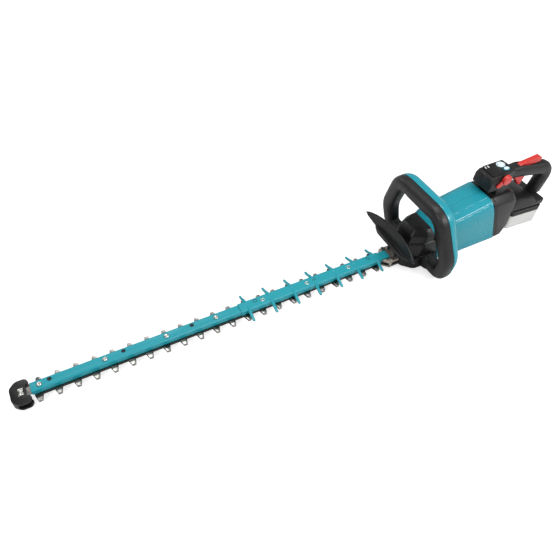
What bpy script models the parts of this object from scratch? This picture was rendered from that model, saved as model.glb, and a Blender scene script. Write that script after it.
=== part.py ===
"""Cordless hedge trimmer with a 750 mm double-sided blade, as separate solids.

Metres, +Z up. The blade points along -X and lies level, the battery is at +X, and the
operator's left is -Y. Each piece is drawn from the crank axis, at the blade's mid-plane;
one empty then moves them all, so that the origin is under the middle of the object.
"""

import math

import bmesh
import bpy
from mathutils import Matrix, Vector

MM = 0.001
GAP = 0.3 * MM  # between two pieces that touch

# ---- cutting blades
PITCH = 35.2 * MM
TEETH = 22
LAST_TOOTH = -100.8 * MM
FIRST_TOOTH = LAST_TOOTH - (TEETH - 1) * PITCH
BLADE_STRIP = 12 * MM  # half width of the solid strip
TOOTH_REACH = 26 * MM  # half width over the tooth tips
TOOTH_ROOT = 15 * MM
TOOTH_TIP = 7 * MM
RIGHT_SIDE_SHIFT = 5.3 * MM  # the right-hand teeth lie this much further back
BLADE_THICK = 3 * MM
BLADE_APART = 0.4 * MM  # oil gap between the two blades
THROW = 5.5 * MM  # each blade moves this far either way

# ---- guide bar and what is screwed to it
BAR_HALF = 10.5 * MM
BAR_LOW = 4 * MM
BAR_HIGH = 14 * MM
BAR_FRONT = FIRST_TOOTH - 10 * MM
BAR_REAR = -62 * MM
FIRST_SCREW = FIRST_TOOTH + 6 * MM
LAST_SCREW = LAST_TOOTH - 64.4 * MM
SCREW_SHARES = (0, 0.184, 0.368, 0.526, 0.684, 0.842, 1)  # of the way from first to last
SCREW_SHANK = 3 * MM
SCREW_HEAD = 5.2 * MM
OIL_HOLE_STEP = 4 * PITCH
OIL_HOLES = 1 + (TEETH - 1) // 4
FIRST_OIL_HOLE = FIRST_TOOTH + 25 * MM
OIL_HOLE = 3.2 * MM
OIL_HOLE_SIDE = 4 * MM
TIP_FRONT = FIRST_TOOTH - 47 * MM
TIP_HALF = 27 * MM
TIP_DEPTH = 35 * MM
TIP_WALL = 4 * MM
TIP_CORNER = 9 * MM
TIP_NOTCH = 7 * MM  # depth of the hollow behind the nose, where the blades' ends lie
COMB_PAIRS = 7
COMB_STEP = 1.5 * PITCH
COMB_FIRST = -96 * MM - (COMB_PAIRS - 1) * COMB_STEP  # first pair of blunt fingers
COMB_REACH = 38 * MM
COMB_THICK = 2 * MM
FINGER_WIDE = 8 * MM
BASE_FRONT = -80 * MM
BASE_TOP = 10 * MM
BASE_HALF = 23 * MM
BASE_BOLT = (-62 * MM, 17 * MM)

# ---- drive
DISC = 10.5 * MM
DISC_THICK = 6.6 * MM
CRANK_SHAFT = 4.5 * MM
YOKE_WALL = 5 * MM
YOKE_THICK = 7.4 * MM
PINION_TEETH = 9
CROWN_TEETH = 36
CROWN_OUTER = 25 * MM
CROWN_INNER = 17 * MM
CROWN_PLANE = 40 * MM  # height of the teeth's middle
TOOTH_DEPTH = 2.4 * MM
MOTOR_HEIGHT = 46 * MM
MOTOR_SHAFT = 3 * MM
BEARING_THICK = 7 * MM
MOTOR_FRONT = 74 * MM
MOTOR_LONG = 38 * MM
STATOR_OUTER = 27 * MM
STATOR_INNER = 16 * MM
ROTOR_RADIUS = 15 * MM
FAN_RADIUS = 28 * MM
FAN_BLADES = 9
AIR_HOLE_CIRCLE = 21 * MM

# ---- gear case and motor housing
LEAN = math.radians(18)  # the joints between housings lean forward by this
WALL = 3 * MM
CASE_HALF = 43 * MM
CASE_NOSE = -42 * MM
CASE_LOW = -21 * MM
CASE_SPLIT = 16 * MM
CASE_TOP = 82 * MM
CASE_REAR = 45 * MM  # at the height of CASE_SPLIT
BODY_LOW = -21 * MM
BODY_HALF = 49 * MM
SEAM_FOOT = 220 * MM  # lowest point of the swivel joint
SEAM_TOP = 114 * MM
BODY_FRONT_TOP = 80 * MM
RING_THICK = 8 * MM
SPIGOT = 38 * MM

# ---- front handle and hand guard
LOOP_LEAN = math.radians(8.6)
LOOP_FOOT = 18 * MM  # where the handle's plane crosses the blade's mid-plane
LOOP_LOW = -16 * MM
LOOP_MID = 56 * MM  # height of the widest place
LOOP_HIGH = 172 * MM
LOOP_HALF_LOW = 112 * MM
LOOP_HALF_MID = 125 * MM
LOOP_HALF_TOP = 86 * MM
LOOP_TUBE = 17 * MM  # half thickness seen from the front
LOOP_FRONT = 13 * MM  # soft grip, in front of the handle's plane
LOOP_BACK = 27 * MM  # hard shell, behind it
LOOP_BACK_TOP = 37 * MM  # the same along the top
LOOP_JOINT = 10 * MM  # where the two meet
GUARD_X = -50 * MM
GUARD_SWEEP = 16 * MM
GUARD_HALF = 92 * MM
GUARD_LOW = 36 * MM
GUARD_HIGH = 80 * MM
GUARD_TIP = 66 * MM
GUARD_THICK = 4 * MM

# ---- rear handle, which turns about the swivel
REAR_FACE = 257 * MM  # back of the barrel, where the battery mount starts
REAR_HALF = 43 * MM
GRIP_HALF = 16 * MM
GRIP_THICK = 17 * MM  # half height of the grip
HANDLE_BACK = 401 * MM
LIMB_FOOT = HANDLE_BACK - GRIP_THICK - 26 * MM  # where the back limb reaches the battery mount
PANEL_HALF = 22 * MM
BOX_HALF = 27 * MM
BOX_TOP = 162 * MM
BOX_FRONT = 170 * MM
BOX_REAR = 246 * MM
BOX_SHELF = 127 * MM  # underside of the overhang, clear of the motor housing as it turns
PANEL_THICK = 2.4 * MM
BUTTON_TRAVEL = 1.5 * MM
SLOT_HALF = 8.5 * MM  # half width of the slots in the grip
LEVER_HALF = 7.5 * MM
TRIGGER_PIVOT = (270 * MM, 126 * MM)
LOCK_PIVOT = (278 * MM, 149 * MM)
RELEASE_PIVOT = (210 * MM, 153 * MM)
RELEASE_KNOB = 11.5 * MM
MOUNT_HALF = 40 * MM
MOUNT_SHELF = 52 * MM
BATTERY_TILT = math.radians(5)
BATTERY_FRONT = 267 * MM
BATTERY_LONG = 98 * MM
BATTERY_HALF = 41 * MM
BATTERY_DEEP = 55 * MM
BATTERY_SPLIT = 24 * MM
INTERFACE = 43 * MM  # height of the mount's sole at BATTERY_FRONT
RAIL_NECK = 23.5 * MM
RAIL_HEAD = 29 * MM
RAIL_LOW = 4 * MM
RAIL_HIGH = 9 * MM
RAIL_GAP = 0.5 * MM
CELL_RADIUS = 8.9 * MM
SWITCH_TRAVEL = 3 * MM

for old in list(bpy.data.objects):
    bpy.data.objects.remove(old, do_unlink=True)

PARTS = bpy.data.collections.new("hedge_trimmer")
CUTTERS = bpy.data.collections.new("cutters")
bpy.context.scene.collection.children.link(PARTS)
bpy.context.scene.collection.children.link(CUTTERS)

FRAME = bpy.data.objects.new("crank_axis_frame", None)
PARTS.objects.link(FRAME)


# ---- materials


def finish(name, colour, roughness, metallic=0.0):
    made = bpy.data.materials.new(name)
    made.use_nodes = True
    shader = made.node_tree.nodes["Principled BSDF"]
    shader.inputs["Base Color"].default_value = (*colour, 1)
    shader.inputs["Roughness"].default_value = roughness
    shader.inputs["Metallic"].default_value = metallic
    made.diffuse_color = (*colour, 1)
    return made


TEAL = finish("teal_nylon", (0.012, 0.30, 0.37), 0.35)
BAR_PAINT = finish("teal_bar_coating", (0.010, 0.26, 0.33), 0.42)
BLACK = finish("black_nylon", (0.018, 0.018, 0.020), 0.5)
GREY = finish("dark_grey_nylon", (0.055, 0.052, 0.053), 0.5)
RUBBER = finish("black_soft_grip", (0.030, 0.030, 0.031), 0.62)
RED = finish("red_nylon", (0.70, 0.035, 0.035), 0.4)
STEEL = finish("blade_steel", (0.42, 0.41, 0.39), 0.32, 1.0)
ZINC = finish("plated_screw", (0.62, 0.61, 0.58), 0.28, 1.0)
CAST = finish("cast_aluminium", (0.40, 0.36, 0.32), 0.45, 1.0)
COPPER = finish("copper_winding", (0.60, 0.25, 0.12), 0.4, 1.0)
PALE = finish("battery_pale_grey", (0.60, 0.59, 0.58), 0.5)
LENS = finish("status_lens", (0.75, 0.82, 0.84), 0.2)


# ---- mesh helpers


def mesh_of(shape):
    """A mesh from a bmesh, with its faces turned outwards."""
    bmesh.ops.recalc_face_normals(shape, faces=shape.faces)
    mesh = bpy.data.meshes.new("shape")
    shape.to_mesh(mesh)
    shape.free()
    return mesh


def prism(outline, low, high, axis="Z"):
    """An outline given in the plane across the axis, extruded from low to high along it.

    The outline's two numbers are (x, y) for axis Z, (x, z) for axis Y, (y, z) for axis X.
    """
    place = {
        "Z": lambda u, v, w: (u, v, w),
        "Y": lambda u, v, w: (u, w, v),
        "X": lambda u, v, w: (w, u, v),
    }[axis]
    shape = bmesh.new()
    face = shape.faces.new([shape.verts.new(place(u, v, low)) for u, v in outline])
    grown = bmesh.ops.extrude_face_region(shape, geom=[face])["geom"]
    moved = [item for item in grown if isinstance(item, bmesh.types.BMVert)]
    bmesh.ops.translate(shape, verts=moved, vec=place(0, 0, high - low))
    return mesh_of(shape)


def box(x, y, z):
    """A block between two corners, each argument being (low, high)."""
    shape = bmesh.new()
    bmesh.ops.create_cube(shape, size=1)
    size = Vector((x[1] - x[0], y[1] - y[0], z[1] - z[0]))
    middle = Vector((x[0] + x[1], y[0] + y[1], z[0] + z[1])) / 2
    bmesh.ops.transform(
        shape, matrix=Matrix.Translation(middle) @ Matrix.Diagonal((*size, 1)), verts=shape.verts
    )
    return mesh_of(shape)


def cylinder(radius, low, high, centre=(0, 0), axis="Z", sides=32, top_radius=None):
    """A cylinder or cone from low to high along an axis, through centre in the plane across it."""
    shape = bmesh.new()
    bmesh.ops.create_cone(
        shape,
        cap_ends=True,
        segments=sides,
        radius1=radius,
        radius2=radius if top_radius is None else top_radius,
        depth=high - low,
    )
    turn = {
        "Z": Matrix.Identity(4),
        "X": Matrix.Rotation(math.pi / 2, 4, "Y"),
        "Y": Matrix.Rotation(-math.pi / 2, 4, "X"),
    }[axis]
    half = (low + high) / 2
    where = {
        "Z": (centre[0], centre[1], half),
        "X": (half, centre[0], centre[1]),
        "Y": (centre[0], half, centre[1]),
    }[axis]
    bmesh.ops.transform(shape, matrix=Matrix.Translation(where) @ turn, verts=shape.verts)
    return mesh_of(shape)


def several(meshes):
    """Meshes put together as one, for a cutter with more than one body."""
    shape = bmesh.new()
    for mesh in meshes:
        shape.from_mesh(mesh)
    return mesh_of(shape)


def loft(sections, closed=False):
    """A skin through sections that have the same number of points, capped unless closed."""
    shape = bmesh.new()
    rings = [[shape.verts.new(point) for point in section] for section in sections]
    count = len(rings[0])
    pairs = list(zip(rings, rings[1:]))
    if closed:
        pairs.append((rings[-1], rings[0]))
    for near, far in pairs:
        for i in range(count):
            j = (i + 1) % count
            shape.faces.new((near[i], near[j], far[j], far[i]))
    if not closed:
        shape.faces.new(rings[0])
        shape.faces.new(rings[-1])
    return mesh_of(shape)


def rounded(corners, radius, steps=3):
    """The closed outline with each corner replaced by an arc; radius is one value or one each."""
    count = len(corners)
    radii = radius if isinstance(radius, (list, tuple)) else [radius] * count
    outline = []
    for i, corner in enumerate(corners):
        here = Vector(corner)
        back = Vector(corners[i - 1]) - here
        on = Vector(corners[(i + 1) % count]) - here
        half = back.angle(on) / 2
        reach = radii[i] / math.tan(half)
        if radii[i] == 0:
            outline.append(tuple(here))
            continue
        centre = here + (back.normalized() + on.normalized()).normalized() * radii[i] / math.sin(half)
        start = here + back.normalized() * reach - centre
        end = here + on.normalized() * reach - centre
        for k in range(steps + 1):
            share = k / steps
            arm = (start * (1 - share) + end * share).normalized() * radii[i]
            outline.append(tuple(centre + arm))
    return outline


def stadium(centre, half_long, half_wide, steps=4):
    """A slot outline along x, with round ends."""
    outline = []
    for side in (1, -1):
        for k in range(steps + 1):
            turn = -math.pi / 2 + math.pi * k / steps
            dx = half_long - half_wide + half_wide * math.cos(turn)
            outline.append((centre[0] + side * dx, centre[1] + side * half_wide * math.sin(turn)))
    return outline


def swept(path, profile, closed):
    """A curve through (x, y) points in the XY plane with a (side, up) profile, as a mesh."""
    bevel = bpy.data.curves.new("profile", "CURVE")
    bevel.dimensions = "2D"
    line = bevel.splines.new("POLY")
    line.points.add(len(profile) - 1)
    for point, (u, v) in zip(line.points, profile):
        point.co = (u, v, 0, 1)
    line.use_cyclic_u = True
    bevel_object = bpy.data.objects.new("profile", bevel)
    CUTTERS.objects.link(bevel_object)
    rail = bpy.data.curves.new("rail", "CURVE")
    rail.dimensions = "2D"
    rail.bevel_mode = "OBJECT"
    rail.bevel_object = bevel_object
    rail.use_fill_caps = not closed
    line = rail.splines.new("POLY")
    line.points.add(len(path) - 1)
    for point, (x, y) in zip(line.points, path):
        point.co = (x, y, 0, 1)
    line.use_cyclic_u = closed
    rail_object = bpy.data.objects.new("rail", rail)
    CUTTERS.objects.link(rail_object)
    bpy.context.view_layer.update()
    graph = bpy.context.evaluated_depsgraph_get()
    shape = bmesh.new()
    mesh = bpy.data.meshes.new_from_object(rail_object.evaluated_get(graph))
    shape.from_mesh(mesh)
    bmesh.ops.remove_doubles(shape, verts=shape.verts, dist=0.01 * MM)
    bpy.data.objects.remove(rail_object, do_unlink=True)
    bpy.data.objects.remove(bevel_object, do_unlink=True)
    return mesh_of(shape)


def moved(mesh, matrix):
    mesh.transform(matrix)
    return mesh


# ---- object helpers


def part(name, mesh, material, pivot=(0, 0, 0)):
    """A named piece; its origin is put at the pivot, which is on its joint's axis."""
    mesh.name = name
    mesh.materials.clear()
    mesh.materials.append(material)
    mesh.transform(Matrix.Translation(-Vector(pivot)))
    made = bpy.data.objects.new(name, mesh)
    made.location = pivot
    made.parent = FRAME
    PARTS.objects.link(made)
    return made


def helper(mesh, name):
    made = bpy.data.objects.new(name, mesh)
    made.parent = FRAME
    made.hide_render = True
    made.display_type = "WIRE"
    CUTTERS.objects.link(made)
    return made


def boolean(target, mesh, operation, label):
    modifier = target.modifiers.new(label, "BOOLEAN")
    modifier.operation = operation
    modifier.solver = "EXACT"
    modifier.object = helper(mesh, f"{target.name}_{label}")
    return target


def cut(target, mesh, label):
    return boolean(target, mesh, "DIFFERENCE", label)


def join(target, mesh, label):
    return boolean(target, mesh, "UNION", label)


def smooth(target, degrees=35):
    target.data.shade_smooth()
    target.data.set_sharp_from_angle(angle=math.radians(degrees))
    return target


# ---- blades, bar and guards


def screw_places():
    """Wide steps along the bare bar, then closer ones under the comb guard."""
    return [FIRST_SCREW + share * (LAST_SCREW - FIRST_SCREW) for share in SCREW_SHARES]


def oil_hole_places():
    return [(FIRST_OIL_HOLE + i * OIL_HOLE_STEP, OIL_HOLE_SIDE) for i in range(OIL_HOLES)]


def blade_outline():
    """Teeth on both sides of a strip; the right-hand ones are set back a little."""
    outline = []
    for side, shift in ((-1, 0), (1, RIGHT_SIDE_SHIFT)):
        row = []
        for i in range(TEETH):
            middle = FIRST_TOOTH + i * PITCH + shift
            row += [
                (middle - TOOTH_ROOT / 2, side * BLADE_STRIP),
                (middle - TOOTH_TIP / 2, side * TOOTH_REACH),
                (middle + TOOTH_TIP / 2, side * TOOTH_REACH),
                (middle + TOOTH_ROOT / 2, side * BLADE_STRIP),
            ]
        row.append((-DISC - 2 * THROW - YOKE_WALL / 2, side * BLADE_STRIP))
        outline += row if side < 0 else row[::-1]
    return outline


def yoke_outline():
    half_x = DISC + 2 * THROW + 0.5 * MM
    half_y = DISC + THROW + 0.5 * MM
    inner = [(-half_x, -half_y), (half_x, -half_y), (half_x, half_y), (-half_x, half_y)]
    grow_x = (half_x + YOKE_WALL) / half_x
    grow_y = (half_y + YOKE_WALL) / half_y
    outer = [(x * grow_x, y * grow_y) for x, y in inner]
    return rounded(inner, 3 * MM, 2), rounded(outer, 6 * MM, 2)


def make_blades():
    inner, outer = yoke_outline()
    for name, sign in (("upper_blade", 1), ("lower_blade", -1)):
        face = sign * BLADE_APART / 2
        back = sign * (BLADE_APART / 2 + BLADE_THICK)
        blade = part(name, prism(blade_outline(), min(face, back), max(face, back)), STEEL)
        near = sign * (BLADE_APART / 2 + 0.5 * MM)
        far = sign * (BLADE_APART / 2 + YOKE_THICK)
        join(blade, prism(outer, min(near, far), max(near, far)), "yoke")
        reach = 2 * YOKE_THICK
        cut(blade, prism(inner, -reach, reach), "yoke_slot")
        slots = [
            prism(stadium((x, 0), THROW + SCREW_SHANK + 0.6 * MM, SCREW_SHANK + 0.4 * MM), -reach, reach)
            for x in screw_places()
        ]
        cut(blade, several(slots), "screw_slots")


def make_guide_bar():
    bar = part("guide_bar", box((BAR_FRONT, BAR_REAR), (-BAR_HALF, BAR_HALF), (BAR_LOW, BAR_HIGH)), BAR_PAINT)
    tongue = box((TIP_FRONT + 12 * MM, BAR_FRONT + 2 * MM), (-8 * MM, 8 * MM), (BAR_LOW, BAR_LOW + 3 * MM))
    join(bar, tongue, "tip_tongue")
    holes = [cylinder(SCREW_SHANK + GAP, 0, 2 * BAR_HIGH, (x, 0), sides=16) for x in screw_places()]
    cut(bar, several(holes), "screw_holes")
    oil_holes = [cylinder(OIL_HOLE, 0, 2 * BAR_HIGH, at, sides=12) for at in oil_hole_places()]
    cut(bar, several(oil_holes), "oil_holes")
    underside = box((BASE_FRONT - 1 * MM, 0), (-2 * BAR_HALF, 2 * BAR_HALF), (0, BASE_TOP + GAP))
    cut(bar, underside, "lap_on_base")
    for i, x in enumerate(screw_places()):
        make_bar_screw(i + 1, x)


def make_bar_screw(number, x):
    """Pan head on the bar, shank through both blades, lock nut below."""
    nut_top = -(BLADE_APART / 2 + BLADE_THICK) - GAP
    bolt = part(
        f"bar_screw_{number}",
        cylinder(SCREW_SHANK, nut_top - 4 * MM, BAR_HIGH + 1 * MM, (x, 0), sides=16),
        ZINC,
    )
    head_low = BAR_HIGH + GAP
    join(bolt, cylinder(SCREW_HEAD, head_low, head_low + 2.6 * MM, (x, 0), sides=20), "head")
    join(bolt, cylinder(SCREW_HEAD, nut_top - 4.5 * MM, nut_top, (x, 0), sides=6), "nut")


def make_tip_guard():
    """Half-round nose that covers the front teeth above, in front and below."""
    rear = TIP_FRONT + TIP_DEPTH
    half = BAR_HALF + 3 * MM
    outline = rounded(
        [
            (TIP_FRONT, -0.55 * TIP_HALF),
            (TIP_FRONT + 0.35 * TIP_DEPTH, -TIP_HALF),
            (rear, -TIP_HALF),
            (rear, -half),
            (rear - TIP_NOTCH, -half + 2 * MM),
            (rear - TIP_NOTCH, half - 2 * MM),
            (rear, half),
            (rear, TIP_HALF),
            (TIP_FRONT + 0.35 * TIP_DEPTH, TIP_HALF),
            (TIP_FRONT, 0.55 * TIP_HALF),
        ],
        [12 * MM, 14 * MM, TIP_CORNER, 4 * MM, 2 * MM, 2 * MM, 4 * MM, TIP_CORNER, 14 * MM, 12 * MM],
        4,
    )
    low = -(BLADE_APART / 2 + BLADE_THICK) - GAP - TIP_WALL
    high = BAR_LOW + 3 * MM + GAP + TIP_WALL
    guard = part("tip_guard", prism(outline, low, high), BLACK)
    slot = box((TIP_FRONT + 9 * MM, 0), (-2 * TIP_HALF, 2 * TIP_HALF), (low + TIP_WALL, high - TIP_WALL))
    cut(guard, slot, "blade_slot")
    places = [(TIP_FRONT + 19 * MM, y) for y in (-5 * MM, 5 * MM)]
    tongue_holes = [cylinder(1.8 * MM, 0, 2 * BAR_HIGH, at, sides=12) for at in places]
    cut(guard, several(tongue_holes), "screw_holes")
    cut(bpy.data.objects["guide_bar"], several([m.copy() for m in tongue_holes]), "tip_screw_holes")
    for label, at in zip(("left", "right"), places):
        bolt = part(f"tip_screw_{label}", cylinder(1.5 * MM, BAR_LOW, high + 1 * MM, at, sides=12), ZINC)
        join(bolt, cylinder(3.6 * MM, high + GAP, high + 1.9 * MM, at, sides=16), "head")


def comb_outline():
    """The strip over the bar with blunt fingers on both sides."""
    strip = BAR_HALF + GAP + COMB_THICK
    front = COMB_FIRST - 18 * MM
    rear = COMB_FIRST + (COMB_PAIRS - 1) * COMB_STEP + 13 * MM
    outline = []
    for side in (-1, 1):
        row = [(front, side * strip)]
        for i in range(COMB_PAIRS):
            x = COMB_FIRST + i * COMB_STEP
            half = FINGER_WIDE / 2
            row += [
                (x - half * 1.5, side * strip),
                (x - half, side * (COMB_REACH - half)),
                (x - half * 0.5, side * COMB_REACH),
                (x + half * 0.5, side * COMB_REACH),
                (x + half, side * (COMB_REACH - half)),
                (x + half * 1.5, side * strip),
            ]
        row.append((rear, side * strip))
        outline += row if side < 0 else row[::-1]
    return outline, front, rear, strip


def make_comb_guard():
    outline, front, rear, strip = comb_outline()
    low = BLADE_APART / 2 + BLADE_THICK + 1.2 * MM
    comb = part("comb_guard", prism(outline, low, low + 5 * MM), BAR_PAINT)
    top = BAR_HIGH + GAP + COMB_THICK
    join(comb, box((front, rear), (-strip, strip), (low + 2 * MM, top)), "spine")
    channel = box((front - PITCH, rear + PITCH), (-BAR_HALF - GAP, BAR_HALF + GAP), (-PITCH, BAR_HIGH + GAP))
    cut(comb, channel, "bar_channel")
    heads = [
        cylinder(SCREW_HEAD + 0.5 * MM, 0, 2 * top, (x, 0), sides=20)
        for x in screw_places()
        if front - PITCH < x < rear
    ]
    cut(comb, several(heads), "screw_windows")
    oil_windows = [
        cylinder(OIL_HOLE + 0.8 * MM, 0, 2 * top, at, sides=12) for at in oil_hole_places() if front < at[0] < rear
    ]
    cut(comb, several(oil_windows), "oil_windows")


def make_blade_base():
    """Cast plate that carries the bar in front of the gear case, and its two bolts."""
    rear = CASE_NOSE - GAP
    outline = rounded(
        [
            (BASE_FRONT, -BAR_HALF),
            (BASE_FRONT + 12 * MM, -BASE_HALF),
            (rear, -BASE_HALF),
            (rear, BASE_HALF),
            (BASE_FRONT + 12 * MM, BASE_HALF),
            (BASE_FRONT, BAR_HALF),
        ],
        2 * MM,
        2,
    )
    low = BLADE_APART / 2 + BLADE_THICK + 0.6 * MM
    base = part("blade_base", prism(outline, low, BASE_TOP), CAST)
    under = part("blade_support", prism(outline, -low - 4 * MM, -low), CAST)
    for label, side in (("left", -1), ("right", 1)):
        at = (BASE_BOLT[0], side * BASE_BOLT[1])
        hole = cylinder(3 * MM + GAP, -BAR_HIGH, 2 * BAR_HIGH, at, sides=16)
        cut(base, hole, f"bolt_hole_{label}")
        cut(under, hole.copy(), f"bolt_hole_{label}")
        bolt = part(f"base_bolt_{label}", cylinder(3 * MM, -low - 3 * MM, BASE_TOP + 1 * MM, at, sides=16), ZINC)
        head = BASE_TOP + GAP
        join(bolt, cylinder(5.5 * MM, head, head + 4 * MM, at, sides=6), "head")
        spacer = cylinder(5 * MM, -low + GAP, low - GAP, at, sides=16)
        join(bolt, spacer, "spacer")


# ---- drive


def make_crank():
    """Shaft with two eccentric discs half a turn apart, and the crown gear on it."""
    shaft = part("crank_shaft", cylinder(CRANK_SHAFT, CASE_LOW + WALL + 1 * MM, CROWN_PLANE + 1 * MM), STEEL)
    face = BLADE_APART / 2 + 0.4 * MM
    join(shaft, cylinder(DISC, face, face + DISC_THICK, (0, THROW)), "upper_disc")
    join(shaft, cylinder(DISC, -face - DISC_THICK, -face, (0, -THROW)), "lower_disc")
    gear = part("crown_gear", crown_gear(), STEEL)
    cut(gear, cylinder(CRANK_SHAFT + GAP / 2, 0, 2 * CROWN_PLANE), "bore")


def crown_gear():
    """Disc whose upper face carries radial teeth between two radii."""
    low = CROWN_PLANE - TOOTH_DEPTH / 2 - 5 * MM
    root = CROWN_PLANE - TOOTH_DEPTH / 2
    tip = CROWN_PLANE + TOOTH_DEPTH / 2
    heights = (tip, tip, root, root)
    places = (-0.17, 0.17, 0.30, 0.70)  # shares of one tooth step
    sections = []
    for i in range(CROWN_TEETH):
        for share, height in zip(places, heights):
            turn = 2 * math.pi * (i + share) / CROWN_TEETH
            c, s = math.cos(turn), math.sin(turn)
            middle = (height + CROWN_PLANE) / 2
            sections.append(
                [
                    (CROWN_INNER * 0.3 * c, CROWN_INNER * 0.3 * s, low),
                    (CROWN_OUTER * c, CROWN_OUTER * s, low),
                    (CROWN_OUTER * c, CROWN_OUTER * s, height),
                    (CROWN_INNER * c, CROWN_INNER * s, middle),
                    (CROWN_INNER * 0.3 * c, CROWN_INNER * 0.3 * s, root - 1 * MM),
                ]
            )
    return loft(sections, closed=True)


def pinion():
    """Small bevel gear on the X axis, its teeth meeting the crown gear's."""
    sections = []
    for x, scale in ((CROWN_INNER + 0.5 * MM, CROWN_INNER / CROWN_OUTER), (CROWN_OUTER, 1.0)):
        ring = []
        for i in range(PINION_TEETH):
            for share, radius in ((-0.16, 1), (0.16, 1), (0.34, 0), (0.66, 0)):
                turn = 2 * math.pi * (i + share) / PINION_TEETH
                reach = (PINION_TIP if radius else PINION_ROOT) * scale
                ring.append((x, reach * math.sin(turn), MOTOR_HEIGHT + reach * math.cos(turn)))
        sections.append(ring)
    return loft(sections)


PINION_TIP = MOTOR_HEIGHT - CROWN_PLANE + 0.7 * MM
PINION_ROOT = MOTOR_HEIGHT - CROWN_PLANE - TOOTH_DEPTH / 2 - 0.4 * MM


def make_motor():
    rear = MOTOR_FRONT + MOTOR_LONG
    axis = (0, MOTOR_HEIGHT)
    shaft = part("motor_shaft", pinion(), STEEL, (0, 0, MOTOR_HEIGHT))
    join(shaft, cylinder(MOTOR_SHAFT, CROWN_INNER + 1 * MM, rear + 34 * MM, axis, "X", 20), "rod")
    rotor = part("rotor_core", cylinder(ROTOR_RADIUS, MOTOR_FRONT, rear, axis, "X", 28), STEEL, (0, 0, MOTOR_HEIGHT))
    cut(rotor, cylinder(MOTOR_SHAFT + GAP / 2, 0, 2 * rear, axis, "X", 20), "bore")
    stator = part("stator", cylinder(STATOR_OUTER, MOTOR_FRONT, rear, axis, "X", 36), COPPER)
    cut(stator, cylinder(STATOR_INNER, 0, 2 * rear, axis, "X", 28), "bore")
    for label, x in (("front_motor_bearing", MOTOR_FRONT - 14 * MM), ("rear_motor_bearing", rear + 22 * MM)):
        race = part(label, cylinder(9 * MM, x, x + BEARING_THICK, axis, "X", 24), STEEL)
        cut(race, cylinder(MOTOR_SHAFT + GAP, 0, 2 * rear, axis, "X", 20), "bore")
    for label, x in (("front_motor_plate", MOTOR_FRONT - 13 * MM), ("rear_motor_plate", rear + 23 * MM)):
        plate = part(label, cylinder(34 * MM, x, x + 4 * MM, axis, "X", 24), BLACK)
        cut(plate, cylinder(9 * MM + GAP, 0, 2 * rear, axis, "X", 24), "seat")
        holes = [
            cylinder(
                6 * MM,
                0,
                2 * rear,
                (AIR_HOLE_CIRCLE * math.cos(k * math.pi / 2), MOTOR_HEIGHT + AIR_HOLE_CIRCLE * math.sin(k * math.pi / 2)),
                "X",
                12,
            )
            for k in range(4)
        ]
        cut(plate, several(holes), "air_holes")
    make_fan(rear + 4 * MM)
    for label, low in (
        ("upper_crank_bearing", BEARING_LOW),
        ("lower_crank_bearing", CASE_LOW + WALL + 1.5 * MM),
    ):
        race = part(label, cylinder(11 * MM, low, low + 6 * MM), STEEL)
        cut(race, cylinder(CRANK_SHAFT + GAP, -1, 1), "bore")


BEARING_LOW = 13 * MM


def make_fan(x):
    """Hub disc with straight vanes."""
    axis = (0, MOTOR_HEIGHT)
    fan = part("cooling_fan", cylinder(FAN_RADIUS - 2 * MM, x, x + 2 * MM, axis, "X", 32), BLACK, (0, 0, MOTOR_HEIGHT))
    vanes = []
    for k in range(FAN_BLADES):
        vane = box((x + 1 * MM, x + 12 * MM), (8 * MM, FAN_RADIUS), (-1 * MM, 1 * MM))
        turn = Matrix.Translation((0, 0, MOTOR_HEIGHT)) @ Matrix.Rotation(2 * math.pi * k / FAN_BLADES, 4, "X")
        vanes.append(moved(vane, turn))
    join(fan, several(vanes), "vanes")
    join(fan, cylinder(7 * MM, x, x + 12 * MM, axis, "X", 20), "hub")
    cut(fan, cylinder(MOTOR_SHAFT + GAP / 2, 0, 1, axis, "X", 20), "bore")


# ---- gear case


def leaning(x_at_split, outline):
    """An outline of (y, z) points put on a plane that leans forward."""
    return [(x_at_split - math.tan(LEAN) * (z - CASE_SPLIT), y, z) for y, z in outline]


def case_outline(inset=0.0, rear=CASE_REAR):
    nose = CASE_NOSE + inset
    half = CASE_HALF - inset
    return rounded(
        [
            (rear, -half),
            (-6 * MM, -half),
            (nose, -half * 0.62),
            (nose, half * 0.62),
            (-6 * MM, half),
            (rear, half),
        ],
        [0, 18 * MM, 8 * MM, 8 * MM, 18 * MM, 0],
        3,
    )


def make_gear_case():
    """Lower half, which holds the crank; the blades pass out through its nose."""
    case = part("gear_case", prism(case_outline(), CASE_LOW, CASE_SPLIT), BLACK)
    slope = [
        (CASE_NOSE - 5 * MM, CASE_LOW - 1 * MM),
        (CASE_NOSE + 30 * MM, CASE_LOW - 1 * MM),
        (CASE_NOSE - 5 * MM, -7 * MM),
    ]
    cut(case, prism(slope, -CASE_HALF * 2, CASE_HALF * 2, "Y"), "sloping_nose")
    pocket = rounded(
        [(39 * MM, -27 * MM), (-36 * MM, -24 * MM), (-36 * MM, 24 * MM), (39 * MM, 27 * MM)],
        4 * MM,
        2,
    )
    low = -(BLADE_APART / 2 + YOKE_THICK + 1 * MM)
    cut(case, prism(pocket, low, CASE_SPLIT + 1 * MM), "pocket")
    cut(case, cylinder(11 * MM + GAP, CASE_LOW + WALL, 0), "bearing_seat")
    strip = BLADE_STRIP + 1 * MM
    cut(case, box((2 * CASE_NOSE, -30 * MM), (-strip, strip), (-4.2 * MM, 4.2 * MM)), "blade_slot")
    plate = part("bearing_plate", prism(case_outline(WALL + 4 * MM, 34 * MM), CASE_SPLIT + GAP, CASE_SPLIT + 5 * MM), CAST)
    cut(plate, cylinder(11 * MM + GAP, 0, 1), "bearing_seat")
    return case


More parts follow.
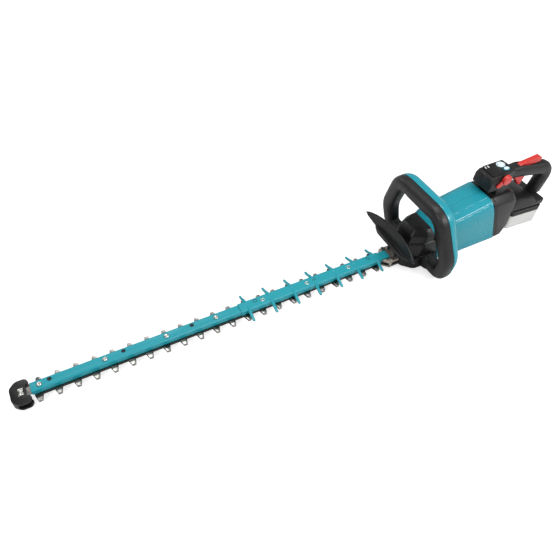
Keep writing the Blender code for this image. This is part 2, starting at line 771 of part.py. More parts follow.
def cover_section(z, half, front):
    """A level outline at height z, its rear end on the leaning joint."""
    rear = CASE_REAR - math.tan(LEAN) * (z - CASE_SPLIT)
    shoulder = min(front + 34 * MM, rear - 10 * MM)
    outline = rounded(
        [
            (rear, -half),
            (shoulder, -half),
            (front, -half * 0.6),
            (front, half * 0.6),
            (shoulder, half),
            (rear, half),
        ],
        [0, 9 * MM, 5 * MM, 5 * MM, 9 * MM, 0],
        3,
    )
    return [(x, y, z) for x, y in outline]


def make_gear_cover():
    low = CASE_SPLIT + GAP
    rows = (
        (low, CASE_HALF, CASE_NOSE),
        (48 * MM, CASE_HALF, CASE_NOSE + 12 * MM),
        (52 * MM, CASE_HALF - 4 * MM, CASE_NOSE + 15 * MM),
        (68 * MM, CASE_HALF - 4 * MM, CASE_NOSE + 17 * MM),
        (CASE_TOP, CASE_HALF - 14 * MM, CASE_NOSE + 28 * MM),
    )
    cover = part("gear_cover", loft([cover_section(*row) for row in rows]), BLACK)
    inside = [
        cover_section(z, half - WALL, front + WALL)
        for z, half, front in ((rows[0][0] - 1 * MM, *rows[0][1:]), *[(z - WALL, *rest) for z, *rest in rows[1:]])
    ]
    stretched = [[(x + (10 * MM if x > 10 * MM else 0), y, z) for x, y, z in ring] for ring in inside]
    cut(cover, loft(stretched), "inside")


# ---- motor housing


def body_outline(half, low, high, chamfer_top, chamfer_low):
    """Eight-sided (y, z) outline with rounded corners, lowest-right corner first."""
    return rounded(
        [
            (half - chamfer_low, low),
            (half, low + chamfer_low),
            (half, high - chamfer_top),
            (half - chamfer_top, high),
            (chamfer_top - half, high),
            (-half, high - chamfer_top),
            (-half, low + chamfer_low),
            (chamfer_low - half, low),
        ],
        5 * MM,
        2,
    )


def on_joint(foot, outline):
    """An outline on a leaning plane whose lowest point, at BODY_LOW, is at foot."""
    return [(foot - math.tan(LEAN) * (z - BODY_LOW), y, z) for y, z in outline]


def body_stations(inset=0.0):
    front = CASE_REAR + math.tan(LEAN) * (CASE_SPLIT - BODY_LOW) + GAP
    rows = (
        (front, CASE_HALF + 1 * MM, BODY_FRONT_TOP, 15 * MM),
        (front + 30 * MM, BODY_HALF, BODY_FRONT_TOP + 9 * MM, 15 * MM),
        (SEAM_FOOT, BODY_HALF, SEAM_TOP, 15 * MM),
    )
    return [
        (x, body_outline(half - inset, BODY_LOW + inset, high - inset, top, 10 * MM))
        for x, half, high, top in rows
    ]


def make_motor_housing():
    outer = [on_joint(x, outline) for x, outline in body_stations()]
    inner = [on_joint(x, outline) for x, outline in body_stations(WALL)]
    far = 10 * MM
    inner[0] = [(x - far, y, z) for x, y, z in inner[0]]
    inner[-1] = [(x + far, y, z) for x, y, z in inner[-1]]
    for name, side in (("motor_housing_left", -1), ("motor_housing_right", 1)):
        shell = part(name, loft(outer), TEAL)
        cut(shell, loft(inner), "inside")
        keep_out = sorted((side * -GAP / 2 * -1, -side * 1.0))
        cut(shell, box((-1, 1), (keep_out[0], keep_out[1]), (-1, 1)), "mid_plane")
    return outer


def make_swivel_ring():
    """Fixed black ring on the leaning joint; the rear handle's spigot turns in it."""
    outline = body_outline(BODY_HALF - 1 * MM, BODY_LOW + 1 * MM, SEAM_TOP - 1 * MM, 15 * MM, 10 * MM)
    step = (RING_THICK) / math.cos(LEAN)
    gap = GAP / math.cos(LEAN)
    ring = part(
        "swivel_ring",
        loft([on_joint(SEAM_FOOT + gap, outline), on_joint(SEAM_FOOT + gap + step, outline)]),
        BLACK,
    )
    cut(ring, along_swivel(cylinder(SPIGOT + GAP, -30 * MM, 30 * MM, sides=40)), "spigot_bore")
    return step + 2 * gap


SWIVEL_HEIGHT = (BODY_LOW + SEAM_TOP) / 2
SWIVEL = (SEAM_FOOT - math.tan(LEAN) * (SWIVEL_HEIGHT - BODY_LOW), 0, SWIVEL_HEIGHT)


def along_swivel(mesh):
    """A shape drawn along +Z at the origin, put on the swivel axis, which rises to the rear."""
    turn = Matrix.Rotation(math.pi / 2 - LEAN, 4, "Y")
    return moved(mesh, Matrix.Translation(SWIVEL) @ turn)


# ---- front handle


def loop_corners(grow=0.0):
    """The handle's centre line in its own plane: (y, distance up the plane)."""
    low = (LOOP_LOW + LOOP_TUBE) / math.cos(LOOP_LEAN)
    high = (LOOP_HIGH - LOOP_TUBE) / math.cos(LOOP_LEAN)
    mid = LOOP_MID / math.cos(LOOP_LEAN)
    return [
        (LOOP_HALF_LOW - LOOP_TUBE, low),
        (LOOP_HALF_MID - LOOP_TUBE, mid),
        (LOOP_HALF_TOP - LOOP_TUBE, high),
        (LOOP_TUBE - LOOP_HALF_TOP, high),
        (LOOP_TUBE - LOOP_HALF_MID, mid),
        (LOOP_TUBE - LOOP_HALF_LOW, low),
    ]


def grip_profile(front, back):
    """An egg-shaped outline, deeper behind than in front, cut square at front and back."""
    outline = []
    steps = 12
    for k in range(steps):
        turn = 2 * math.pi * k / steps
        u = LOOP_TUBE * math.sin(turn)
        v = (LOOP_BACK if math.cos(turn) > 0 else LOOP_FRONT) * math.cos(turn)
        outline.append((u, min(max(v, front), back)))
    return outline


def deepened(mesh):
    """The shell's rear face drawn back more and more above the handle's widest place."""
    for vert in mesh.vertices:
        share = min(max((vert.co.y - LOOP_MID) / (LOOP_HIGH - LOOP_TUBE - LOOP_MID), 0), 1)
        stretch = 1 + share * (LOOP_BACK_TOP - LOOP_BACK) / (LOOP_BACK - LOOP_JOINT)
        vert.co.z = LOOP_JOINT + GAP + (vert.co.z - LOOP_JOINT - GAP) * stretch
    return mesh


def loop_plane(mesh):
    """A shape drawn in the XY plane (x across, y up the handle, z forward) put in place."""
    across = Vector((0, 1, 0))
    up = Vector((-math.sin(LOOP_LEAN), 0, math.cos(LOOP_LEAN)))
    forward = across.cross(up)
    turn = Matrix((across, up, forward)).transposed().to_4x4()
    return moved(mesh, Matrix.Translation((LOOP_FOOT, 0, 0)) @ turn)


def make_front_handle():
    path = rounded(loop_corners(), [20 * MM, 60 * MM, 34 * MM, 34 * MM, 60 * MM, 20 * MM], 6)
    grip_outline = grip_profile(-LOOP_FRONT, LOOP_JOINT)
    shell_outline = grip_profile(LOOP_JOINT + GAP, LOOP_BACK)
    grip = part("front_handle_grip", loop_plane(swept(path, grip_outline, True)), RUBBER)
    shell = part("front_handle_shell", loop_plane(deepened(swept(path, shell_outline, True))), TEAL)
    half = CASE_HALF + 1 * MM + GAP
    for ring in (grip, shell):
        cut(ring, box((-1, 1), (-half, half), (-1, LOOP_HIGH / 2)), "body_saddle")


def make_hand_guard():
    """Crescent plate across the tool in front of the handle, on two legs."""
    rows, columns = 2, 24
    shape = bmesh.new()
    grid = []
    for j in range(columns + 1):
        y = GUARD_HALF * (2 * j / columns - 1)
        share = abs(y) / GUARD_HALF
        low = GUARD_LOW + (GUARD_TIP - GUARD_LOW) * share**2.2
        high = GUARD_HIGH + (GUARD_TIP + 3 * MM - GUARD_HIGH) * share**4
        column = []
        for i in range(rows + 1):
            z = low + (high - low) * i / rows
            x = GUARD_X - GUARD_SWEEP * share**2
            column.append(shape.verts.new((x, y, z)))
        grid.append(column)
    for j in range(columns):
        for i in range(rows):
            shape.faces.new((grid[j][i], grid[j + 1][i], grid[j + 1][i + 1], grid[j][i + 1]))
    guard = part("hand_guard", mesh_of(shape), BLACK)
    wall = guard.modifiers.new("wall", "SOLIDIFY")
    wall.thickness = GUARD_THICK
    wall.offset = 0
    for label, side in (("left", -1), ("right", 1)):
        leg = sorted((side * 11 * MM, side * 15 * MM))
        height = (BASE_TOP + GAP, GUARD_LOW + 12 * MM)
        join(guard, box((GUARD_X - 1 * MM, GUARD_X + 5 * MM), leg, height), f"leg_{label}")
    return guard


def make_front_switch():
    """Bar under the top of the front handle, pressed up into a groove in the grip."""
    up = (LOOP_HIGH - 2 * LOOP_TUBE) / math.cos(LOOP_LEAN)
    half = 40 * MM
    outline = rounded([(-half, -4 * MM), (half, -4 * MM), (half, 5 * MM), (-half, 5 * MM)], 3 * MM, 2)
    bar = prism([(u, v + up) for u, v in outline], -6 * MM, 6 * MM)
    part("front_switch_lever", loop_plane(bar), BLACK)
    space = half + GAP
    room = [(-space, -9 * MM), (space, -9 * MM), (space, 5.5 * MM + SWITCH_TRAVEL), (-space, 5.5 * MM + SWITCH_TRAVEL)]
    groove = prism([(u, v + up) for u, v in room], -6 * MM - GAP, 6 * MM + GAP)
    cut(bpy.data.objects["front_handle_grip"], loop_plane(groove), "switch_groove")


# ---- rear handle


RING_STEP = RING_THICK / math.cos(LEAN)
JOINT_GAP = GAP / math.cos(LEAN)


def rear_stations(inset=0.0):
    start = SEAM_FOOT + RING_STEP + 2 * JOINT_GAP
    first = body_outline(BODY_HALF - 1 * MM - inset, BODY_LOW + 1 * MM + inset, SEAM_TOP - 1 * MM - inset, 15 * MM, 10 * MM)
    second = body_outline(BODY_HALF - 3 * MM - inset, BODY_LOW + inset, SEAM_TOP - 6 * MM - inset, 15 * MM, 10 * MM)
    third = body_outline(REAR_HALF - inset, inset, SEAM_TOP - 14 * MM - inset, 15 * MM, 10 * MM)
    return start, first, second, third


def make_rear_barrel(inset=0.0, reach=0.0):
    start, first, second, third = rear_stations(inset)
    middle = REAR_FACE - 16 * MM
    return loft(
        [
            on_joint(start - reach, first),
            [(middle, y, z) for y, z in second],
            [(REAR_FACE - (inset if inset else 0), y, z) for y, z in third],
        ]
    )


def box_section(x, half, low, high):
    """Control box outline across the tool, with sloping upper sides."""
    top = min(PANEL_HALF, half)
    shoulder = high - 14 * MM
    return [(x, y, z) for y, z in rounded(
        [(half, low), (half, shoulder), (top, high), (-top, high), (-half, shoulder), (-half, low)],
        [0, 4 * MM, 3 * MM, 3 * MM, 4 * MM, 0],
        2,
    )]


def make_control_box():
    deep = SEAM_TOP - 30 * MM
    ring_back = SEAM_FOOT + RING_STEP + 2 * JOINT_GAP - math.tan(LEAN) * (deep - BODY_LOW) + 1 * MM
    return loft(
        [
            box_section(BOX_FRONT, BOX_HALF - 3 * MM, BOX_SHELF + 2 * MM, BOX_TOP - 3 * MM),
            box_section(BOX_FRONT + 4 * MM, BOX_HALF, BOX_SHELF, BOX_TOP),
            box_section(ring_back, BOX_HALF, BOX_SHELF - 1 * MM, BOX_TOP),
            box_section(ring_back + 0.5 * MM, BOX_HALF, deep, BOX_TOP),
            box_section(BOX_REAR - 26 * MM, BOX_HALF, deep, BOX_TOP),
            box_section(BOX_REAR, GRIP_HALF + 2 * MM, deep, BOX_TOP - 3 * MM),
        ]
    )


def side_plane(mesh):
    """A shape drawn in the XY plane, stood up so that its y is height."""
    return moved(mesh, Matrix.Rotation(math.pi / 2, 4, "X"))


def make_grip_tube():
    """Closed grip and back limb, swept along one bent line."""
    back = HANDLE_BACK - GRIP_THICK
    path = rounded(
        [
            (BOX_REAR - 20 * MM, 138 * MM),
            (TRIGGER_PIVOT[0], 141 * MM),
            (back - 2 * MM, 116 * MM),
            (LIMB_FOOT, MOUNT_SHELF - 18 * MM),
        ],
        [0, 30 * MM, 26 * MM, 0],
        6,
    )
    steps = 16
    profile = []
    for k in range(steps):
        turn = 2 * math.pi * k / steps
        c, s = math.cos(turn), math.sin(turn)
        profile.append(
            (
                math.copysign(abs(c) ** 0.8, c) * GRIP_THICK,
                math.copysign(abs(s) ** 0.8, s) * GRIP_HALF,
            )
        )
    return side_plane(swept(path, profile, False))


def make_rear_housing():
    for name, side in (("rear_housing_left", -1), ("rear_housing_right", 1)):
        shell = part(name, make_rear_barrel(), GREY, SWIVEL)
        join(shell, make_control_box(), "control_box")
        join(shell, make_grip_tube(), "grip")
        join(shell, along_swivel(cylinder(SPIGOT, -13 * MM, 14 * MM, sides=40)), "spigot")
        flange_low = -(RING_THICK / 2 + GAP) - 10 * MM
        join(shell, along_swivel(cylinder(SPIGOT + 4 * MM, flange_low, flange_low + 3 * MM, sides=40)), "flange")
        cut(shell, make_rear_barrel(WALL, -6 * MM), "inside")
        cut(shell, along_swivel(cylinder(SPIGOT - 3 * MM, -40 * MM, 30 * MM, sides=40)), "spigot_hole")
        cut(shell, box((REAR_FACE + 1 * MM, 1), (-1, 1), (-1, MOUNT_SHELF + GAP)), "mount_room")
        cut(shell, trigger_room(), "trigger_slot")
        cut(shell, lock_room(), "lock_slot")
        cut(shell, button_room(), "button_room")
        keep_out = sorted((side * GAP / 2, -side * 1.0))
        cut(shell, box((-1, 1), (keep_out[0], keep_out[1]), (-1, 1)), "mid_plane")


def trigger_room():
    x, z = TRIGGER_PIVOT
    return box((x - 14 * MM, x + 70 * MM), (-SLOT_HALF, SLOT_HALF), (z - 30 * MM, z + 8 * MM))


def lock_room():
    x, z = LOCK_PIVOT
    return box((x - 10 * MM, x + 72 * MM), (-SLOT_HALF, SLOT_HALF), (z - 10 * MM, z + 30 * MM))


BUTTONS = (
    ("power_button", (222 * MM, 8.5 * MM), 8 * MM, 7 * MM),
    ("reverse_button", (224 * MM, -8.5 * MM), 6.5 * MM, 4.5 * MM),
)


def button_outline(at, half_long, half_wide, grow=0.0):
    steps = 20
    return [
        (
            at[0] + (half_long + grow) * math.cos(2 * math.pi * k / steps),
            at[1] + (half_wide + grow) * math.sin(2 * math.pi * k / steps),
        )
        for k in range(steps)
    ]


def button_room():
    low = BOX_TOP - 6 * MM
    return several(
        [prism(button_outline(at, a, b, 1 * MM), low, BOX_TOP + 10 * MM) for _, at, a, b in BUTTONS]
    )


def make_controls():
    low = BOX_TOP + GAP
    outline = rounded(
        [
            (BOX_FRONT + 8 * MM, 1 * MM - PANEL_HALF),
            (BOX_REAR - 8 * MM, 1 * MM - PANEL_HALF),
            (BOX_REAR - 8 * MM, PANEL_HALF - 1 * MM),
            (BOX_FRONT + 8 * MM, PANEL_HALF - 1 * MM),
        ],
        4 * MM,
        3,
    )
    panel = part("control_panel", prism(outline, low, low + PANEL_THICK), BLACK, SWIVEL)
    holes = [prism(button_outline(at, a, b, GAP), 0, 1) for _, at, a, b in BUTTONS]
    cut(panel, several(holes), "button_holes")
    for name, at, half_long, half_wide in BUTTONS:
        top = low + PANEL_THICK + 1.8 * MM
        bottom = BOX_TOP - 6 * MM + BUTTON_TRAVEL + 0.5 * MM
        button = prism(button_outline(at, half_long, half_wide), bottom, top)
        part(name, button, LENS, (*at, bottom))


def levers():
    """Trigger, lock-off lever and handle release lever, each turning about a cross pin."""
    x, z = TRIGGER_PIVOT
    outline = [
        (x - 6 * MM, z + 4 * MM),
        (x - 4 * MM, z - 6 * MM),
        (x + 6 * MM, z - 14 * MM),
        (x + 20 * MM, z - 32 * MM),
        (x + 27 * MM, z - 33 * MM),
        (x + 33 * MM, z - 14 * MM),
        (x + 34 * MM, z - 2 * MM),
        (x + 6 * MM, z + 6 * MM),
    ]
    trigger = prism(rounded(outline, 2 * MM, 2), -LEVER_HALF, LEVER_HALF, "Y")
    part("trigger", trigger, RED, (x, 0, z))
    x, z = LOCK_PIVOT
    outline = [
        (x - 6 * MM, z - 4 * MM),
        (x - 6 * MM, z + 5 * MM),
        (x + 4 * MM, z + 8 * MM),
        (x + 53 * MM, z + 13 * MM),
        (x + 61 * MM, z + 8 * MM),
        (x + 61 * MM, z - 2 * MM),
        (x + 40 * MM, z - 4 * MM),
    ]
    lever = prism(rounded(outline, 2 * MM, 2), -LEVER_HALF, LEVER_HALF, "Y")
    part("lock_off_lever", lever, RED, (x, 0, z))
    x, z = RELEASE_PIVOT
    near = -BOX_HALF - GAP
    knob = part("handle_release_lever", cylinder(RELEASE_KNOB, near - 8 * MM, near, (x, z), "Y", 24), RED, (x, near, z))
    tail = [(x - 6 * MM, z + 2 * MM), (x - 26 * MM, z - 12 * MM), (x - 20 * MM, z - 18 * MM), (x + 2 * MM, z - 8 * MM)]
    join(knob, prism(rounded(tail, 3 * MM, 2), near - 5 * MM, near - 1 * MM, "Y"), "tail")


def make_trigger_switch():
    x, z = TRIGGER_PIVOT
    low = z - 6 * MM
    part(
        "trigger_switch",
        box((x + 38 * MM, x + 68 * MM), (-LEVER_HALF, LEVER_HALF), (low, z + 7 * MM)),
        BLACK,
        SWIVEL,
    )


# ---- battery and its mount


def tilted(mesh):
    """A shape drawn with the mount's sole at z = 0, put on the sloping interface."""
    about = Matrix.Translation((BATTERY_FRONT, 0, INTERFACE))
    turn = Matrix.Rotation(BATTERY_TILT, 4, "Y")
    return moved(mesh, about @ turn @ Matrix.Translation((-BATTERY_FRONT, 0, 0)))


def rail_outline(grow):
    neck, head = RAIL_NECK + grow, RAIL_HEAD + grow
    low, high = RAIL_LOW - grow, RAIL_HIGH + grow
    return [(-neck, -5 * MM), (neck, -5 * MM), (neck, low), (head, low), (head, high), (-head, high), (-head, low), (-neck, low)]


def make_battery_mount():
    rear = BATTERY_FRONT + BATTERY_LONG
    slope = math.tan(BATTERY_TILT)
    front = REAR_FACE + GAP * 2
    outline = [
        (front, INTERFACE + slope * (BATTERY_FRONT - front)),
        (rear, INTERFACE - slope * (rear - BATTERY_FRONT)),
        (rear, MOUNT_SHELF),
        (LIMB_FOOT - GRIP_THICK - 4 * MM, MOUNT_SHELF),
        (LIMB_FOOT - GRIP_THICK - 14 * MM, MOUNT_SHELF + 14 * MM),
        (front + 36 * MM, 76 * MM),
        (front, 82 * MM),
    ]
    mount = part("battery_mount", prism(outline, -MOUNT_HALF, MOUNT_HALF, "Y"), BLACK, SWIVEL)
    mount_bevel = mount.modifiers.new("soft_edges", "BEVEL")
    mount_bevel.width = 4 * MM
    mount_bevel.segments = 2
    mount_bevel.limit_method = "ANGLE"
    rail_start = BATTERY_FRONT + 4 * MM
    cut(mount, tilted(prism(rail_outline(RAIL_GAP), rail_start, 2 * rear, "X")), "rail_channel")
    block = tilted(box((rail_start + GAP, rail_start + 9 * MM), (-20 * MM, 20 * MM), (1 * MM, RAIL_HIGH)))
    part("terminal_block", block, BLACK, SWIVEL)


def case_shell(low, high, inset=0.0):
    """Rounded block of the battery between two depths below the interface."""
    front = BATTERY_FRONT + inset
    rear = BATTERY_FRONT + BATTERY_LONG - inset
    half = BATTERY_HALF - inset
    outline = rounded([(front, -half), (rear, -half), (rear, half), (front, half)], max(9 * MM - inset, 2 * MM), 3)
    return prism(outline, low, high)


def make_battery():
    pivot = (BATTERY_FRONT, 0, INTERFACE)
    wall = 2.2 * MM
    top = -1 * MM
    upper = part("battery_upper_case", tilted(case_shell(-BATTERY_SPLIT, top)), PALE, pivot)
    rail_start = BATTERY_FRONT + 15 * MM
    rail = prism(rail_outline(0), rail_start, BATTERY_FRONT + BATTERY_LONG - 1 * MM, "X")
    join(upper, tilted(rail), "rail")
    cut(upper, tilted(case_shell(-BATTERY_SPLIT - 5 * MM, top - 3 * MM, wall)), "inside")
    lower = part("battery_lower_case", tilted(case_shell(-BATTERY_DEEP, -BATTERY_SPLIT - GAP)), PALE, pivot)
    cut(lower, tilted(case_shell(wall - BATTERY_DEEP, 0, wall)), "inside")
    button_x = BATTERY_FRONT + BATTERY_LONG
    room = box((button_x - 7 * MM, button_x + 5 * MM), (-14.5 * MM, 14.5 * MM), (-19 * MM, -4.5 * MM))
    cut(upper, tilted(room), "button_room")
    button = box((button_x - 6 * MM, button_x + 1.5 * MM), (-14 * MM, 14 * MM), (-15 * MM, -5 * MM))
    part("battery_button", tilted(button), BLACK, pivot)
    make_cells(pivot)


def make_cells(pivot):
    """Two layers of five cells that touch each other, as one welded pack."""
    step = 2 * CELL_RADIUS - 0.6 * MM
    first = BATTERY_FRONT + BATTERY_LONG / 2 - 2 * step
    half = BATTERY_HALF - 6 * MM
    layers = (CELL_RADIUS - BATTERY_DEEP + 4 * MM, CELL_RADIUS - BATTERY_DEEP + 4 * MM + step)
    cells = [
        cylinder(CELL_RADIUS, -half, half, (first + i * step, z), "Y", 14) for z in layers for i in range(5)
    ]
    pack = part("cell_pack", tilted(cells[0]), STEEL, pivot)
    for i, cell in enumerate(cells[1:]):
        join(pack, tilted(cell), f"cell_{i + 2}")


def centre_frame():
    """Puts the origin under the middle of the finished object."""
    bpy.context.view_layer.update()
    graph = bpy.context.evaluated_depsgraph_get()
    pieces = [piece for piece in PARTS.objects if piece.type == "MESH"]
    corners = [piece.matrix_world @ Vector(c) for piece in pieces for c in piece.evaluated_get(graph).bound_box]
    low = [min(corner[i] for corner in corners) for i in range(3)]
    high = [max(corner[i] for corner in corners) for i in range(3)]
    FRAME.location = (-(low[0] + high[0]) / 2, -(low[1] + high[1]) / 2, -low[2])


def make_controller():
    """Electronics tray in the lower part of the motor housing."""
    low = BODY_LOW + WALL + 1 * MM
    part("motor_controller", box((70 * MM, 150 * MM), (-30 * MM, 30 * MM), (low, low + 16 * MM)), BLACK)


if __name__ == "__main__":
    make_blades()
    make_guide_bar()
    make_tip_guard()
    make_comb_guard()
    make_blade_base()
    make_crank()
    make_motor()
    make_gear_case()
    make_gear_cover()
    make_motor_housing()
    make_swivel_ring()
    make_front_handle()
    make_hand_guard()
    make_front_switch()
    make_rear_housing()
    make_controls()
    levers()
    make_trigger_switch()
    make_battery_mount()
    make_battery()
    make_controller()
    centre_frame()
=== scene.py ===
import math

import bmesh
import bpy
import numpy as np
from mathutils import Matrix, Vector


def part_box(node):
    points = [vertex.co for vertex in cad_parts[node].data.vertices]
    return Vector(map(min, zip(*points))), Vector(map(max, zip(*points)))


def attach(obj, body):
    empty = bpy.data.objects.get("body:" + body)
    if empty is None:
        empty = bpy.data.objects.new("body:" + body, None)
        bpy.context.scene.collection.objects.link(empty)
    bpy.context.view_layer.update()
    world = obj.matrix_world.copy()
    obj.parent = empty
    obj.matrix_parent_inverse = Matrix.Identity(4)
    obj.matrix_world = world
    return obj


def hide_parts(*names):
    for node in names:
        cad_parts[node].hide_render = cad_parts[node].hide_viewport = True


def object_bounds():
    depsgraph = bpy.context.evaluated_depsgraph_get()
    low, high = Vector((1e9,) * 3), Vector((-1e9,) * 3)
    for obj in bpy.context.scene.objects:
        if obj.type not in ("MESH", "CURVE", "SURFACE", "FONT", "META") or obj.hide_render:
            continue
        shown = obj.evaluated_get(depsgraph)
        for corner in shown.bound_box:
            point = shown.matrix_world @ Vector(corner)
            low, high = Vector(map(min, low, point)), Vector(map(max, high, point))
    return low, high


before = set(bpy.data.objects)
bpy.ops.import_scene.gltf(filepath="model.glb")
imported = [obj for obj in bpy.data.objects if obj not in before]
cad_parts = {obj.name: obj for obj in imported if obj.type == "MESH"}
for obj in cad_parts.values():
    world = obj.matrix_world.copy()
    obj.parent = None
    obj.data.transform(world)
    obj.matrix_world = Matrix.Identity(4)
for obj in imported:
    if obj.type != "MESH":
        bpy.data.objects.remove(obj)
cad_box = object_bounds()

# The crank axis at the blades' mid-plane: every size below is in millimetres from there.
blade_low, blade_high = np.array(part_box("lower_blade")), np.array(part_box("upper_blade"))
crank_low, crank_high = np.array(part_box("crank_shaft"))
MIDDLE = (crank_low + crank_high) / 2
CRANK = np.array([MIDDLE[0], 0.0, (blade_low[1, 2] + blade_high[0, 2]) / 2])


def in_metres(points):
    """Millimetres from the crank axis to metres in the row frame."""
    return np.asarray(points, float) / 1000 + CRANK


def in_mm(node):
    """A CAD node's lowest and highest corner, in millimetres from the crank axis."""
    return (np.array(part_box(node)) - CRANK) * 1000


# ---- meshes worked out as arrays


def mesh_from(name, points, quads, fans=()):
    """A mesh from a point array, an array of four-cornered faces and lists of larger faces."""
    mesh = bpy.data.meshes.new(name)
    faces = [tuple(face) for face in np.asarray(quads).tolist()] + [tuple(fan) for fan in fans]
    mesh.from_pydata(np.asarray(points).tolist(), [], faces)
    mesh.validate()
    shape = bmesh.new()
    shape.from_mesh(mesh)
    bmesh.ops.remove_doubles(shape, verts=shape.verts, dist=2e-6)
    bmesh.ops.recalc_face_normals(shape, faces=shape.faces)
    shape.to_mesh(mesh)
    shape.free()
    mesh.shade_smooth()
    return mesh


def skin(name, rings, closed_along=False, closed_round=True, caps=True):
    """The surface through rings[i, j]: neighbours in i and in j share four-cornered faces."""
    rings = np.asarray(rings, float)
    along, around = rings.shape[:2]
    number = np.arange(along * around).reshape(along, around)
    near = number if closed_along else number[:-1]
    far = np.roll(number, -1, 0) if closed_along else number[1:]
    if closed_round:
        quads = np.stack([near, np.roll(near, -1, 1), np.roll(far, -1, 1), far], -1)
    else:
        quads = np.stack([near[:, :-1], near[:, 1:], far[:, 1:], far[:, :-1]], -1)
    fans = []
    if caps and closed_round and not closed_along:
        fans = [number[0].tolist(), number[-1][::-1].tolist()]
    return mesh_from(name, in_metres(rings.reshape(-1, 3)), quads.reshape(-1, 4), fans)


def outline(corners, radii, arc=6, flat=6):
    """A closed outline whose corners are arcs: each point of an arc is the corner's centre plus
    a blend of its first and last arm, brought back to the radius; straight runs join them."""
    corners = np.asarray(corners, float)
    radii = np.maximum(np.broadcast_to(np.asarray(radii, float), len(corners)), 0.2)[:, None]
    back = np.roll(corners, 1, 0) - corners
    on = np.roll(corners, -1, 0) - corners
    back /= np.linalg.norm(back, axis=1, keepdims=True)
    on /= np.linalg.norm(on, axis=1, keepdims=True)
    half = np.arccos(np.clip((back * on).sum(1, keepdims=True), -1, 1)) / 2
    centre = corners + (back + on) / np.linalg.norm(back + on, axis=1, keepdims=True) * radii / np.sin(half)
    first = corners + back * radii / np.tan(half) - centre
    last = corners + on * radii / np.tan(half) - centre
    share = np.linspace(0, 1, arc + 1)[None, :, None]
    arms = first[:, None] * (1 - share) + last[:, None] * share
    arms *= radii[:, None] / np.linalg.norm(arms, axis=2, keepdims=True)
    arcs = centre[:, None] + arms
    leave = arcs[:, -1][:, None]
    reach = np.roll(arcs[:, 0], -1, 0)[:, None]
    run = np.linspace(0, 1, flat + 1)[None, 1:-1, None]
    return np.concatenate([arcs, leave * (1 - run) + reach * run], 1).reshape(-1, 2)


def even(line, count, closed=False):
    """The same line with its points at equal steps of length."""
    line = np.vstack([line, line[:1]]) if closed else np.asarray(line)
    step = np.linalg.norm(np.diff(line, axis=0), axis=1)
    length = np.concatenate([[0], np.cumsum(step)])
    wanted = np.linspace(0, length[-1], count, endpoint=not closed)
    return np.stack([np.interp(wanted, length, line[:, k]) for k in range(line.shape[1])], 1)


def softened_line(line, passes):
    """Each inner point moved to the mean of itself and its neighbours, so that bends ease in."""
    line = np.array(line)
    for _ in range(passes):
        line[1:-1] = (line[:-2] + 2 * line[1:-1] + line[2:]) / 4
    return line


def slab(name, shape_xy, low, high, edge=0.6, steps=3, axis="Z"):
    """An outline raised from low to high with rounded edges: near each face the outline shrinks
    towards its middle by edge times one minus the sine of the turn round the corner."""
    shape_xy = np.asarray(shape_xy, float)
    middle = shape_xy.mean(0)
    turn = np.linspace(0, math.pi / 2, steps + 1)
    inset = edge * (1 - np.sin(turn))
    rise = edge * (1 - np.cos(turn))
    levels = np.concatenate([low + rise, (high - rise)[::-1]])
    insets = np.concatenate([inset, inset[::-1]])
    arm = shape_xy - middle
    size = np.linalg.norm(arm, axis=1, keepdims=True)
    flat = middle + arm[None] * (1 - insets[:, None, None] / np.maximum(size, edge * 2)[None])
    height = np.broadcast_to(levels[:, None], flat.shape[:2])
    order = {"Z": (0, 1, 2), "Y": (0, 2, 1), "X": (2, 0, 1)}[axis]
    stack = np.stack([flat[..., 0], flat[..., 1], height], -1)
    placed = np.empty_like(stack)
    for source, target in enumerate(order):
        placed[..., target] = stack[..., source]
    return skin(name, placed)


def lathe(name, profile, centre, sides=40, axis="Z", lobes=0, lobe_depth=0.0):
    """Radius and height pairs turned about an axis; the inner points' radius also waves with
    the turn, as a cosine of lobes times the angle."""
    profile = np.asarray(profile, float)
    turn = np.linspace(0, 2 * math.pi, sides, endpoint=False)
    wave = 1 + lobe_depth * np.cos(lobes * turn)[None]
    radius = profile[:, :1] * np.where(profile[:, 2:3] > 0, wave, 1.0)
    across = radius * np.cos(turn)
    over = radius * np.sin(turn)
    up = np.broadcast_to(profile[:, 1:2], across.shape)
    place = {"Z": (across, over, up), "Y": (across, up, over), "X": (up, across, over)}[axis]
    return skin(name, np.stack(place, -1) + np.asarray(centre, float))


def stadium(centre, half_long, half_wide, turn=0.0, count=40):
    """A rounded slot outline: two half circles joined by straight sides."""
    angle = np.linspace(0, 2 * math.pi, count, endpoint=False)
    x = np.sign(np.cos(angle)) * (half_long - half_wide) + half_wide * np.cos(angle)
    y = half_wide * np.sin(angle)
    c, s = math.cos(turn), math.sin(turn)
    return np.stack([centre[0] + x * c - y * s, centre[1] + x * s + y * c], 1)


# ---- shader node groups


def group(name, inputs, outputs):
    """An empty shader node group with named sockets: (name, kind, value)."""
    tree = bpy.data.node_groups.new(name, "ShaderNodeTree")
    for label, kind, value in inputs:
        socket = tree.interface.new_socket(label, in_out="INPUT", socket_type=kind)
        socket.default_value = value
    for label, kind in outputs:
        tree.interface.new_socket(label, in_out="OUTPUT", socket_type=kind)
    return tree, tree.nodes.new("NodeGroupInput"), tree.nodes.new("NodeGroupOutput")


FLOAT, COLOUR = "NodeSocketFloat", "NodeSocketColor"


